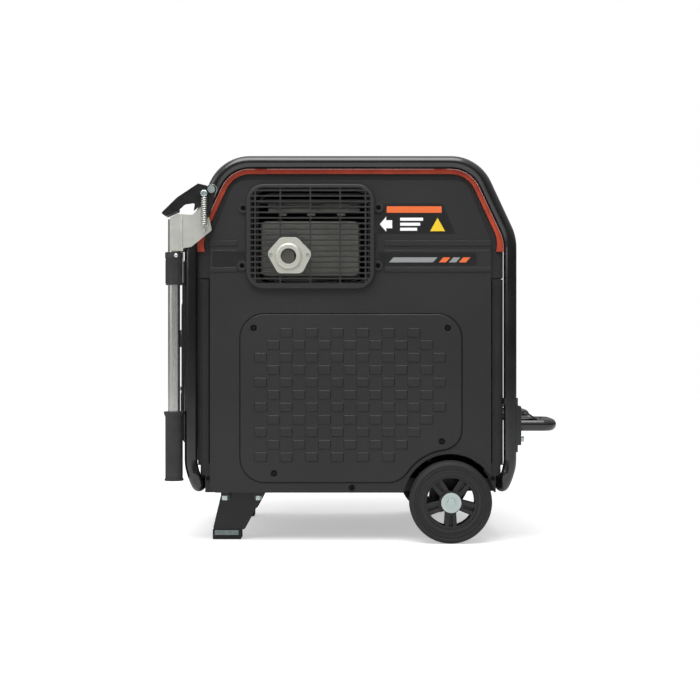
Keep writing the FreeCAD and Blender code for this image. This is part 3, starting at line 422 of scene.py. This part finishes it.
def glass_filled_nylon():
    """Dull black, a touch grey where fibres lie near the surface."""
    material, tree, shader = start_finish("glass_filled_nylon", "#131314", 0.55, IOR=1.53)
    fibres = noise(tree, 6, 4)
    tint_between(tree, shader, fibres, "#101011", "#1a1a1b")
    vary_roughness(tree, shader, fibres, 0.48, 0.62)
    raise_surface(tree, shader, noise(tree, 1.5), 0.04, edge_mm=0.7)
    return material


guard_nylon = glass_filled_nylon()
dress(guard_nylon, "exhaust_grille")

# ---- Muffler, outlet and the duct round them ----
# Aluminised sheet steel, welded and greyed by heat. The rolled outlet ring is cleaner and
# brighter than its flange, and a woven spark screen closes the bore.


def aluminised_steel():
    """Grey metal with a fine spangle, duller where it runs hot."""
    material, tree, shader = start_finish("aluminised_steel", "#7c7d77", 0.5, metallic=0.75)
    heat = noise(tree, 60, 4)
    tint_between(tree, shader, heat, "#71726c", "#878882")
    vary_roughness(tree, shader, noise(tree, 5), 0.42, 0.6)
    raise_surface(tree, shader, noise(tree, 2), 0.04, edge_mm=1.0)
    return material


def outlet_steel():
    """Grey flange steel that turns bright on the rolled ring in front of it."""
    material, tree, shader = start_finish("outlet_steel", "#53544f", 0.5, metallic=0.7)
    ring_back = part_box("exhaust_outlet")[0].y + 0.0049
    where = add_node(tree, "TexCoord").outputs["Object"]
    across = add_node(tree, "SeparateXYZ", links={"Vector": where}).outputs["Y"]
    ring = add_node(
        tree, "MapRange", {"From Min": ring_back + 0.0004, "From Max": ring_back}, {"Value": across},
    ).outputs["Result"]
    tint_between(tree, shader, ring, "#50514c", "#c6c6bc")
    vary_roughness(tree, shader, noise(tree, 3), 0.38, 0.52)
    raise_surface(tree, shader, noise(tree, 1.5), 0.05, edge_mm=0.8)
    return material


def sooty_sheet():
    """Dark sheet steel, browned and sooted by the exhaust."""
    material, tree, shader = start_finish("sooty_sheet", "#363635", 0.55, metallic=0.6)
    soot = noise(tree, 35, 4)
    tint_between(tree, shader, soot, "#2b2b2a", "#454543")
    vary_roughness(tree, shader, soot, 0.48, 0.65)
    raise_surface(tree, shader, noise(tree, 2), 0.04, edge_mm=0.8)
    return material


def duct_bands():
    """Two welded straps and their lugs that hold the heat shield over the muffler."""
    low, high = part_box("exhaust_surround")
    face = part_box("muffler")[0].y
    left, right = low.x + 0.022, high.x - 0.022
    straps = [
        (oblong(left, right, high.z - 0.0235, high.z - 0.0185), face, face + 0.002, 0.0004),
        (oblong(left, right, high.z - 0.0360, high.z - 0.0285), face + 0.004, face + 0.006, 0.0004),
    ]
    for share in (0.16, 0.47, 0.80):
        x = left + (right - left) * share
        lug = oblong(x - 0.008, x + 0.008, high.z - 0.0440, high.z - 0.0395)
        straps.append((lug, face, face + 0.002, 0.0004))
    prisms("duct_bands", straps, "y", aluminised, "frame", "exhaust_steel")


aluminised = aluminised_steel()
outlet_metal = outlet_steel()
soot_steel = sooty_sheet()
dress(aluminised, "muffler")
dress(outlet_metal, "exhaust_outlet")
dress(soot_steel, "exhaust_surround")
duct_bands()


def spark_screen():
    """Woven wires across the outlet's bore, with a dark sheet behind them."""
    low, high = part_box("exhaust_outlet")
    x = high.x - 0.0486
    z = high.z - 0.038
    radius, pitch, wire = 0.0154, 0.0022, 0.0004
    count = int(radius / pitch)
    face = low.y + 0.006
    wires = []
    for i in range(-count, count + 1):
        half = math.sqrt(radius ** 2 - (i * pitch) ** 2)
        off = i * pitch
        level = oblong(x - half, x + half, z + off - wire, z + off + wire)
        upright = oblong(x + off - wire, x + off + wire, z - half, z + half)
        wires.append((level, face, face - 0.0008, 0))
        wires.append((upright, face - 0.0006, face - 0.0014, 0))
    angles = [math.pi * step / 16 for step in range(32)]
    disc = [(x + radius * math.cos(a), z + radius * math.sin(a)) for a in angles]
    prisms("spark_screen", wires, "y", aluminised, "frame", "exhaust_steel")
    backing = [(disc, face + 0.001, face + 0.0004, 0)]
    prisms("spark_screen_backing", backing, "y", soot_steel, "frame", "exhaust_steel")


spark_screen()

# ---- Wheels: solid tyres on moulded centres ----
# Carbon black rubber, moulded solid, with three grooves and rows of blocks on the tread and two
# raised rings on each side wall. Rubber is almost matt, with pale scuffs on the tread.


def carbon_black_rubber():
    """Near black, matt, with a dusty grey bloom in patches."""
    material, tree, shader = start_finish("carbon_black_rubber", "#131314", 0.72, IOR=1.52)
    bloom = noise(tree, 14, 4)
    tint_between(tree, shader, bloom, "#0f0f10", "#1b1b1c")
    vary_roughness(tree, shader, bloom, 0.64, 0.82)
    raise_surface(tree, shader, noise(tree, 1.8, 2), 0.06)
    return material


def moulded_nylon():
    """Black nylon of the wheel centres, with a soft satin shine."""
    material, tree, shader = start_finish("moulded_nylon", "#131314", 0.45, IOR=1.53)
    flow = noise(tree, 22, 3)
    tint_between(tree, shader, flow, "#0f0f10", "#19191a")
    vary_roughness(tree, shader, flow, 0.38, 0.52)
    raise_surface(tree, shader, noise(tree, 1.6), 0.04, edge_mm=1.0)
    return material


tyre_rubber = carbon_black_rubber()
wheel_nylon = moulded_nylon()
dress(wheel_nylon, "wheel_rim_near", "wheel_rim_far")


def turned(name, profile, centre, axis, material, body, slot, segments=96, **looks):
    """A ring or disc turned about an axis from a closed run of (radius, along) points in metres."""
    turn = Vector(axis).to_track_quat("Z", "Y")
    vertices = []
    faces = []
    rings = len(profile)
    for step in range(segments):
        angle = 2 * math.pi * step / segments
        for radius, along in profile:
            arm = Vector((radius * math.cos(angle), radius * math.sin(angle), along))
            vertices.append(Vector(centre) + turn @ arm)
    for step in range(segments):
        here = step * rings
        there = (step + 1) % segments * rings
        for i in range(rings):
            j = (i + 1) % rings
            faces.append([here + i, there + i, there + j, here + j])
    return new_piece(name, vertices, faces, material, body, slot, **looks)


def tyre_with_tread(side):
    """Solid tyre with a bead line on each wall and three grooves in the tread."""
    low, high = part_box("tyre_" + side)
    centre = (low + high) / 2
    half = (high.y - low.y) / 2
    outer = (high.z - low.z) / 2
    bore = 0.0615
    rib = 0.0010
    wall = [
        (bore, half - 0.0005), (bore + 0.003, half - 0.0012), (bore + 0.0055, half - 0.0012),
        (bore + 0.0062, half - 0.0002), (bore + 0.0078, half - 0.0002), (bore + 0.0085, half - 0.0012),
        (outer - 0.0095, half - rib), (outer - 0.0085, half - 0.0002), (outer - 0.0070, half - 0.0006),
        (outer - 0.0040, half - 0.0030), (outer - 0.0015, half - 0.0060), (outer, half - 0.0100),
    ]
    grooves = []
    for middle in (0.0075, 0.0, -0.0075):
        grooves += [
            (outer, middle + 0.0013), (outer - 0.0022, middle + 0.0009),
            (outer - 0.0022, middle - 0.0009), (outer, middle - 0.0013),
        ]
    profile = wall + grooves + [(radius, -along) for radius, along in reversed(wall)]
    piece = turned(
        "tyre_body_" + side, profile, centre, (0, 1, 0), tyre_rubber, "wheel_" + side, "tyre_rubber",
        segments=144, smooth_angle=30,
    )
    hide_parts("tyre_" + side)


for near_or_far in ("near", "far"):
    tyre_with_tread(near_or_far)

# ---- Zinc plated parts: pins, bolts, washers, axle and the forks of the handles ----
# Steel, zinc plated and clear passivated: a pale grey metal with a satin grain and a faint
# bluish cloud. Broken edges catch the light.


def zinc_plate(name, hex_low, hex_high, roughness):
    """Pale satin metal, slightly clouded."""
    material, tree, shader = start_finish(name, hex_low, roughness, metallic=1.0)
    tint_between(tree, shader, noise(tree, 28, 4), hex_low, hex_high)
    vary_roughness(tree, shader, noise(tree, 5), roughness - 0.06, roughness + 0.08)
    raise_surface(tree, shader, noise(tree, 1.4), 0.015, edge_mm=0.7)
    return material


bright_zinc = zinc_plate("bright_zinc_plate", "#bccbc9", "#cfdbd9", 0.34)
satin_zinc = zinc_plate("satin_zinc_plate", "#c2c3bc", "#d0d0c9", 0.48)
dress(bright_zinc, "zinc_fasteners", "axle")
dress(satin_zinc, "handle_bracket_near", "handle_bracket_far")

# ---- Front feet: rubber pads with ribs ----
# Nitrile rubber blocks bonded under the pressed feet. Each has upright grip ribs and a zinc
# plated shoe plate let into its outer side.

dress(tyre_rubber, "foot_pads")


def dull_shoe_plate():
    """Galvanised plate, dull blue-grey and scuffed by the ground."""
    material, tree, shader = start_finish("galvanised_shoe_plate", "#7f8a88", 0.55, metallic=0.8)
    scuffs = noise(tree, 6, 4)
    tint_between(tree, shader, scuffs, "#747f7d", "#8b9896")
    vary_roughness(tree, shader, scuffs, 0.48, 0.64)
    raise_surface(tree, shader, noise(tree, 1.5), 0.02, edge_mm=0.4)
    return material


shoe_plate = dull_shoe_plate()


def pad_trim(side):
    """Grip ribs and shoe plate on the outer side of one rubber foot."""
    low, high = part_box("foot_pads")
    out = facing(side)
    face = high.y if side == "far" else low.y
    ribs = []
    count = 12
    step = (high.x - low.x - 0.006) / count
    for i in range(count):
        x = low.x + 0.003 + step * (i + 0.2)
        ribs.append((oblong(x, x + step * 0.6, 0.001, 0.0065), face, face + out * 0.0012, 0.0003))
    prisms("pad_ribs_" + side, ribs, "y", tyre_rubber, "frame", "tyre_rubber")
    plate = oblong(low.x + 0.004, high.x - 0.005, 0.0085, high.z - 0.001)
    prisms(
        "pad_plate_" + side, [(plate, face, face + out * 0.0012, 0.0004)], "y", shoe_plate, "frame", "zinc",
        bevel_mm=0.3,
    )


for near_or_far in ("near", "far"):
    pad_trim(near_or_far)

# ---- Folding handles: tube, grip and collar ----
# Drawn aluminium tube, anodised clear: pale, with fine lines along it from the drawing. The
# grip and collar are soft rubber with lengthwise reeding.


def anodised_aluminium():
    """Pale metal with drawing lines along the tube; real lines are 0.2 mm, drawn at 0.8 mm."""
    material, tree, shader = start_finish("anodised_aluminium", "#d9dad6", 0.26, metallic=1.0)
    lines = noise(tree, 0.8, 2, stretch=(1, 1, 0.02))
    vary_roughness(tree, shader, lines, 0.2, 0.34)
    tint_between(tree, shader, lines, "#d2d3cf", "#e2e2df")
    raise_surface(tree, shader, lines, 0.006)
    return material


def soft_grip_rubber():
    """Matt black thermoplastic rubber, slightly greyed where it is held."""
    material, tree, shader = start_finish("soft_grip_rubber", "#232324", 0.7, IOR=1.5)
    held = noise(tree, 26, 3)
    tint_between(tree, shader, held, "#1e1e1f", "#2c2c2d")
    vary_roughness(tree, shader, held, 0.6, 0.78)
    raise_surface(tree, shader, noise(tree, 1.4), 0.05)
    return material


tube_metal = anodised_aluminium()
grip_rubber = soft_grip_rubber()
dress(tube_metal, "handle_tube_near", "handle_tube_far")
dress(grip_rubber, "handle_grip_near", "handle_grip_far")


def reeding(name, side, low_z, high_z, radius, count, proud):
    """Upright ribs round the handle's axis."""
    tube_low, tube_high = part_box("handle_tube_" + side)
    x = (tube_low.x + tube_high.x) / 2
    hoop_plane = 0.260
    y = facing(side) * hoop_plane
    ribs = []
    half = math.pi * radius / count * 0.42
    for i in range(count):
        angle = 2 * math.pi * i / count
        radial = Vector((math.cos(angle), math.sin(angle)))
        along = Vector((-radial.y, radial.x))
        inner = radial * (radius - 0.001)
        outer = radial * (radius + proud)
        corners = [
            inner - along * half, inner + along * half,
            outer + along * half * 0.5, outer - along * half * 0.5,
        ]
        ribs.append(([(x + c.x, y + c.y) for c in corners], low_z, high_z, 0))
    prisms(name + side, ribs, "z", grip_rubber, "handle_" + side, "grip_rubber")


def handle_details(side):
    """Reeding of grip and collar, the collar's rivet and its clip."""
    out = facing(side)
    grip_low, grip_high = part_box("handle_grip_" + side)
    skin, proud = 0.0165, 0.0008
    reeding("grip_ribs_", side, grip_low.z + 0.006, grip_low.z + 0.130, skin, 28, proud)
    reeding("collar_ribs_", side, grip_high.z - 0.062, grip_high.z - 0.015, skin, 22, proud)
    tube_low, tube_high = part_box("handle_tube_" + side)
    x = (tube_low.x + tube_high.x) / 2
    collar_face = out * 0.2765
    rivet = (x + 0.006, collar_face, grip_high.z - 0.007)
    dome = [
        (0.0, 0.0), (0.0042, 0.0), (0.0040, 0.0010), (0.0030, 0.0018), (0.0015, 0.0022), (0.0, 0.0023),
    ]
    turned(
        "collar_rivet_" + side, dome, rivet, (0, out, 0), bright_zinc, "handle_" + side, "zinc",
        segments=32,
    )
    clip = oblong(x + 0.0172, x + 0.0186, grip_high.z - 0.060, grip_high.z + 0.001)
    prisms(
        "collar_clip_" + side, [(clip, out * 0.256, out * 0.263, 0)], "y", satin_zinc, "handle_" + side,
        "zinc", bevel_mm=0.2,
    )


for near_or_far in ("near", "far"):
    handle_details(near_or_far)

# ---- Forks: pressed ribs and spring stud ----
# A fold and a pressed bead stiffen each zinc plated cheek.


def fork_beads(side):
    """Pressed bead down the outer cheek."""
    out = facing(side)
    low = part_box("handle_bracket_" + side)[0]
    cheek_face = out * 0.2765
    x = low.x + 0.0235
    bead = oblong(x - 0.0022, x + 0.0022, low.z + 0.009, low.z + 0.068)
    prisms(
        "fork_bead_" + side, [(bead, cheek_face, cheek_face + out * 0.0010, 0.0009)], "y", satin_zinc,
        "handle_" + side, "zinc", bevel_mm=0.4,
    )


for near_or_far in ("near", "far"):
    fork_beads(near_or_far)

# ---- Release levers ----
# Moulded in black acetal, slick and slightly glossy, with a lighter worn edge along the pull.


def black_acetal():
    """Slick black plastic, its edges polished by fingers."""
    material, tree, shader = start_finish("black_acetal", "#131314", 0.32, IOR=1.48)
    wear = noise(tree, 16, 3)
    tint_between(tree, shader, wear, "#101011", "#1a1a1b")
    vary_roughness(tree, shader, wear, 0.26, 0.4)
    raise_surface(tree, shader, noise(tree, 3), 0.03, edge_mm=0.9)
    return material


lever_acetal = black_acetal()
dress(lever_acetal, "release_lever_near", "release_lever_far")


def lever_pin_head(side):
    """Zinc plated head over the pin that hooks the spring to the lever."""
    out = facing(side)
    low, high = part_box("release_spring_" + side)
    lever_low, lever_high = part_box("release_lever_" + side)
    face = lever_high.y if side == "far" else lever_low.y
    centre = ((low.x + high.x) / 2, face, high.z + 0.007)
    dome = [
        (0.0, -0.0001), (0.0066, -0.0001), (0.0067, 0.0004),
        (0.0060, 0.0008), (0.0035, 0.0010), (0.0, 0.0010),
    ]
    turned(
        "lever_pin_head_" + side, dome, centre, (0, out, 0), bright_zinc, "lever_" + side, "zinc",
        segments=40,
    )


for near_or_far in ("near", "far"):
    lever_pin_head(near_or_far)

# ---- Release springs ----
# Close wound tension springs of bright spring wire, 2.8 mm thick, with a hook at each end. One
# hook sits on the fork's stud and the other on the lever's pin.


def bright_spring_wire():
    """Drawn steel wire with an oily shine."""
    material, tree, shader = start_finish("bright_spring_wire", "#c6c8c2", 0.3, metallic=1.0)
    vary_roughness(tree, shader, noise(tree, 2), 0.24, 0.36)
    raise_surface(tree, shader, noise(tree, 1), 0.008)
    return material


spring_wire = bright_spring_wire()


def tension_spring(side):
    """Coil between the fork's stud and the lever's pin."""
    low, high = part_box("release_spring_" + side)
    centre = (low + high) / 2
    wire = 0.0014
    coil = (high.x - low.x) / 2 - wire
    turns, per_turn, around = 13, 20, 8
    steps = turns * per_turn
    bottom, top = low.z + wire, high.z - wire
    line = []
    for i in range(steps + 1):
        angle = 2 * math.pi * i / per_turn
        rise = bottom + (top - bottom) * i / steps
        line.append(Vector((centre.x + coil * math.cos(angle), centre.y + coil * math.sin(angle), rise)))
    vertices = []
    faces = []
    for i, point in enumerate(line):
        before = line[max(i - 1, 0)]
        after = line[min(i + 1, steps)]
        ahead = (after - before).normalized()
        outward = Vector((point.x - centre.x, point.y - centre.y, 0)).normalized()
        upward = ahead.cross(outward)
        for k in range(around):
            turn = 2 * math.pi * k / around
            vertices.append(point + wire * (outward * math.cos(turn) + upward * math.sin(turn)))
    for i in range(steps):
        for k in range(around):
            here = i * around + k
            beside = i * around + (k + 1) % around
            faces.append([here, beside, beside + around, here + around])
    faces.append(list(range(around)))
    faces.append([steps * around + k for k in range(around)])
    piece = new_piece(
        "spring_coil_" + side, vertices, faces, spring_wire, None, "spring_steel", smooth_angle=60,
    )
    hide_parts("release_spring_" + side)
    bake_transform(piece)


for near_or_far in ("near", "far"):
    tension_spring(near_or_far)

# ---- Control panel ----
# A painted steel plate on the moulded console. The sockets are urea resin with brass contacts,
# the button and rockers are moulded, and thin printed lines mark out the groups.


def satin_panel_paint():
    """Dark satin paint with a very fine texture."""
    material, tree, shader = start_finish("satin_panel_paint", "#1d1e20", 0.4, IOR=1.5)
    vary_roughness(tree, shader, noise(tree, 30, 3), 0.34, 0.48)
    raise_surface(tree, shader, noise(tree, 1.5), 0.03, edge_mm=0.8)
    return material


def moulded_control(name, hex_low, hex_high, roughness):
    """Glossier moulded resin of sockets, knobs and buttons."""
    material, tree, shader = start_finish(name, hex_low, roughness, IOR=1.54)
    flow = noise(tree, 12, 3)
    tint_between(tree, shader, flow, hex_low, hex_high)
    vary_roughness(tree, shader, flow, roughness - 0.05, roughness + 0.08)
    raise_surface(tree, shader, noise(tree, 2), 0.02, edge_mm=0.8)
    return material


def window_acrylic():
    """Smoked acrylic over a dark display."""
    material, tree, shader = start_finish("window_acrylic", "#0b1013", 0.08, IOR=1.49)
    shader.inputs["Coat Weight"].default_value = 0.6
    vary_roughness(tree, shader, noise(tree, 40), 0.05, 0.12)
    return material


def solid_brass():
    """Machined brass, a little tarnished."""
    material, tree, shader = start_finish("solid_brass", "#c9a254", 0.3, metallic=1.0)
    tint_between(tree, shader, noise(tree, 6), "#b98f45", "#d3b064")
    vary_roughness(tree, shader, noise(tree, 3), 0.24, 0.4)
    return material


panel_paint = satin_panel_paint()
socket_resin = moulded_control("socket_resin", "#2a2a2c", "#333335", 0.38)
lid_resin = moulded_control("lid_resin", "#191a1b", "#232425", 0.4)
knob_resin = moulded_control("knob_resin", "#161617", "#202021", 0.35)
red_resin = moulded_control("red_resin", "#a91f1b", "#bd2a24", 0.32)
window = window_acrylic()
brass = solid_brass()
dress(panel_paint, "control_plate")
dress(socket_resin, "power_sockets")
dress(lid_resin, "socket_lid", "round_socket_lid")
dress(knob_resin, "engine_knob", "eco_rocker", "breaker_rocker")
dress(red_resin, "start_button")
dress(window, "display")
dress(brass, "earth_terminal")


def strips_round(a0, a1, b0, b1, line):
    """Four strips along the inside edges of a rectangle."""
    return [
        oblong(a0, a1, b0, b0 + line), oblong(a0, a1, b1 - line, b1),
        oblong(a0, a0 + line, b0, b1), oblong(a1 - line, a1, b0, b1),
    ]


def panel_marks():
    """Printed lines round the groups, ticks round the knob, and bars on the display."""
    plate_low, plate_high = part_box("control_plate")
    face = plate_low.x
    ink = face - 0.0002
    knob_low, knob_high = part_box("engine_knob")
    knob_y = (knob_low.y + knob_high.y) / 2
    knob_z = (knob_low.z + knob_high.z) / 2
    middle = Vector((knob_y, knob_z))
    marks = []
    inner, outer, half = 0.024, 0.029, 0.0007
    for degrees in (-60, -30, 0, 30, 60):
        turn = math.radians(degrees)
        along = Vector((math.sin(turn), math.cos(turn)))
        beside = half * Vector((along.y, -along.x))
        near_end, far_end = middle + along * inner, middle + along * outer
        tick = [near_end - beside, near_end + beside, far_end + beside, far_end - beside]
        marks.append(([tuple(corner) for corner in tick], face, ink, 0))
    margin, line = 0.012, 0.0008
    left, right = plate_low.y + margin, plate_high.y - margin
    for low_z, high_z in ((knob_z - 0.036, knob_z + 0.040), (plate_low.z + margin, knob_z - 0.044)):
        marks += [(strip, face, ink, 0) for strip in strips_round(left, right, low_z, high_z, line)]
    prisms("panel_lines", marks, "x", film_white, "frame", "plate_paint")
    display_low, display_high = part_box("display")
    glass = display_low.x
    strips = strips_round(display_low.y, display_high.y, display_low.z, display_high.z, 0.0025)
    rim = [(strip, glass, glass - 0.001, 0.0004) for strip in strips]
    prisms("display_rim", rim, "x", knob_resin, "frame", "control_plastic")
    bars = []
    for i in range(6):
        y = display_low.y + 0.010 + 0.0080 * i
        z = display_low.z + 0.008
        bars.append((oblong(y, y + 0.005, z, z + 0.004 + 0.0024 * i), glass, glass - 0.0003, 0))
    prisms("display_bars", bars, "x", film_orange, "frame", "screen")
    pointer = oblong(knob_y - 0.0012, knob_y + 0.0012, knob_z + 0.004, knob_z + 0.017)
    prisms(
        "knob_pointer", [(pointer, knob_low.x, knob_low.x - 0.0004, 0)], "x", film_orange, "engine_knob",
        "control_plastic",
    )


panel_marks()

# ---- Rear edge seals, rear louvres and the blades of the far air intake ----
# Rubber strips close the joints beside the rear panel. Moulded hoods over the slots keep rain
# out. They are the panels' own grained ABS.


def edge_seals():
    """Black rubber strips between the rear panel and the corner pillars."""
    low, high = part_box("rear_panel")
    seals = []
    for edge, out in ((low.y, -1), (high.y, 1)):
        seals.append((oblong(low.x, high.x, edge, edge + out * 0.0029), low.z, high.z, 0))
    prisms("rear_edge_seals", seals, "z", tyre_rubber, "frame", "tyre_rubber")


edge_seals()


def hooded_slots():
    """Hoods over the rear slots, and blades over the slots of the far side panel."""
    panel_low, panel_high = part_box("rear_panel")
    face = panel_high.x
    first, pitch, slot_high, half_wide = panel_low.z + 0.172, 0.020, 0.009, 0.152
    hoods = []
    for i in range(10):
        z = first + pitch * i
        side_view = [
            (face, z + slot_high + 0.005), (face + 0.0055, z + 0.003), (face + 0.0048, z + 0.0015),
            (face, z + slot_high + 0.001),
        ]
        hoods.append((side_view, -half_wide, half_wide, 0))
    prisms("rear_louvres", hoods, "y", grained_abs, "frame", "case_plastic")
    low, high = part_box("side_panel_far")
    out_face = high.y - 0.002
    intake_front, intake_rear = -0.2104, 0.1696
    blades = []
    for i in range(12):
        z = low.z + 0.090 + 0.022 * i
        section = [
            (out_face, z + 0.0145), (out_face + 0.0045, z + 0.004), (out_face + 0.0038, z + 0.0025),
            (out_face, z + 0.0105),
        ]
        blades.append((section, intake_front, intake_rear, 0))
    prisms("intake_blades", blades, "x", grained_abs, "frame", "case_plastic")


hooded_slots()

# ---- Fuel tank and cap ----
# Blow moulded polyethylene tank under the hood, and a moulded cap with finger notches. The
# cap has a raised centre with a plain ring.

tank_plastic = moulded_control("blown_polyethylene", "#1d1d1e", "#262627", 0.5)
dress(tank_plastic, "fuel_tank", "fuel_cap")


def cap_ring():
    """Raised ring and grip bar on the fuel cap."""
    low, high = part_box("fuel_cap")
    centre = ((low.x + high.x) / 2, (low.y + high.y) / 2, high.z)
    ring = [(0.020, -0.0004), (0.0205, 0.0008), (0.0235, 0.0008), (0.024, -0.0004)]
    turned("cap_ring", ring, centre, (0, 0, 1), tank_plastic, "fuel_cap", "tank_plastic", segments=64)
    x, y, top = centre
    bar = oblong(x - 0.003, x + 0.003, y - 0.017, y + 0.017)
    prisms(
        "cap_grip", [(bar, top - 0.0004, top + 0.003, 0.0008)], "z", tank_plastic, "fuel_cap",
        "tank_plastic", bevel_mm=0.6,
    )


cap_ring()

# ---- Engine set inside the case ----
# Sand cast aluminium crankcase and cylinder, copper wound stator, steel rotor on rubber
# mounts, with the inverter, air filter and battery round them.


def cast_aluminium():
    """Dull silver with the grain of a sand mould."""
    material, tree, shader = start_finish("cast_aluminium", "#a6a8a9", 0.55, metallic=1.0)
    tint_between(tree, shader, noise(tree, 20, 4), "#9a9c9d", "#b2b4b5")
    vary_roughness(tree, shader, noise(tree, 3), 0.48, 0.66)
    raise_surface(tree, shader, noise(tree, 1.6), 0.12, edge_mm=1.0)
    return material


def enamelled_copper():
    """Copper wire under clear varnish, wound in fine rows."""
    material, tree, shader = start_finish("enamelled_copper", "#b4622c", 0.3, metallic=1.0)
    rows = add_node(
        tree, "TexWave", {"Scale": 1.0, "Distortion": 0.4},
        {"Vector": place_in(tree, 6)}, wave_type="BANDS", bands_direction="X",
    ).outputs["Fac"]
    tint_between(tree, shader, rows, "#8e4419", "#c9773c")
    raise_surface(tree, shader, rows, 0.3)
    return material


cast_metal = cast_aluminium()
copper = enamelled_copper()
dress(cast_metal, "engine_block", "cylinder", "inverter_unit")
dress(copper, "stator")
dress(aluminised, "rotor")
dress(tyre_rubber, "engine_mounts")
dress(lid_resin, "air_filter", "battery")

# ---- Ground, light and camera ----
# A wide pale floor under a sky of soft light that is brightest overhead, and two soft boxes.
# Floor and sky show white behind the object and throw less light on it than they show.


def pale_floor():
    """Round matt floor, nine metres in radius."""
    material, tree, shader = start_finish("pale_floor", "#e6e6e6", 0.9)
    tint_between(tree, shader, noise(tree, 900, 2), "#e5e5e5", "#e8e8e8")
    shader.inputs["Specular IOR Level"].default_value = 0.1
    shader.inputs["Emission Color"].default_value = (1.0, 1.0, 1.0, 1.0)
    seen = add_node(tree, "LightPath").outputs["Is Camera Ray"]
    glow = add_node(tree, "Math", {1: 0.45}, {0: seen}, operation="MULTIPLY").outputs["Value"]
    tree.links.new(glow, shader.inputs["Emission Strength"])
    radius, just_below = 9, -0.0005
    angles = [math.radians(5 * step) for step in range(72)]
    edge = [(radius * math.cos(a), radius * math.sin(a), just_below) for a in angles]
    mesh = bpy.data.meshes.new("pale_floor")
    mesh.from_pydata(edge, [], [list(range(len(edge)))])
    mesh.materials.append(material)
    floor = bpy.data.objects.new("pale_floor", mesh)
    bpy.context.scene.collection.objects.link(floor)


pale_floor()


def soft_box(name, place, towards, wide, power):
    """Square area lamp, aimed at a point."""
    lamp = bpy.data.lights.new(name, "AREA")
    lamp.shape = "SQUARE"
    lamp.size = wide
    lamp.energy = power
    holder = bpy.data.objects.new(name, lamp)
    holder.location = place
    holder.rotation_euler = (Vector(towards) - Vector(place)).to_track_quat("-Z", "Y").to_euler()
    bpy.context.scene.collection.objects.link(holder)


soft_box("top_box", (-0.3, -1.5, 3.0), (0, 0, 0.4), 2.4, 90)
soft_box("left_box", (-2.8, -1.6, 1.6), (0, 0, 0.4), 1.8, 18)
world = bpy.data.worlds.new("white_sky")
world.use_nodes = True
sky_tree = world.node_tree
heading = add_node(sky_tree, "TexCoord").outputs["Generated"]
upward = add_node(sky_tree, "SeparateXYZ", links={"Vector": heading}).outputs["Z"]
overcast = add_node(
    sky_tree, "MapRange", {"To Min": 0.05, "To Max": 1.05}, {"Value": upward},
).outputs["Result"]
seen = add_node(sky_tree, "LightPath").outputs["Is Camera Ray"]
strength = add_node(sky_tree, "Math", links={0: overcast, 1: seen}, operation="MAXIMUM").outputs["Value"]
sky = sky_tree.nodes["Background"]
sky.inputs["Color"].default_value = (1.0, 1.0, 1.0, 1.0)
sky_tree.links.new(strength, sky.inputs["Strength"])
bpy.context.scene.world = world
bpy.context.scene.view_settings.view_transform = "Standard"

lens = bpy.data.cameras.new("view_camera")
lens.lens = 69.4
lens.sensor_width = 36
camera = bpy.data.objects.new("view_camera", lens)
camera.location = (-0.0214, -2.960, 0.386)
camera.rotation_euler = (math.radians(90), 0, 0)
bpy.context.scene.collection.objects.link(camera)
bpy.context.scene.camera = camera
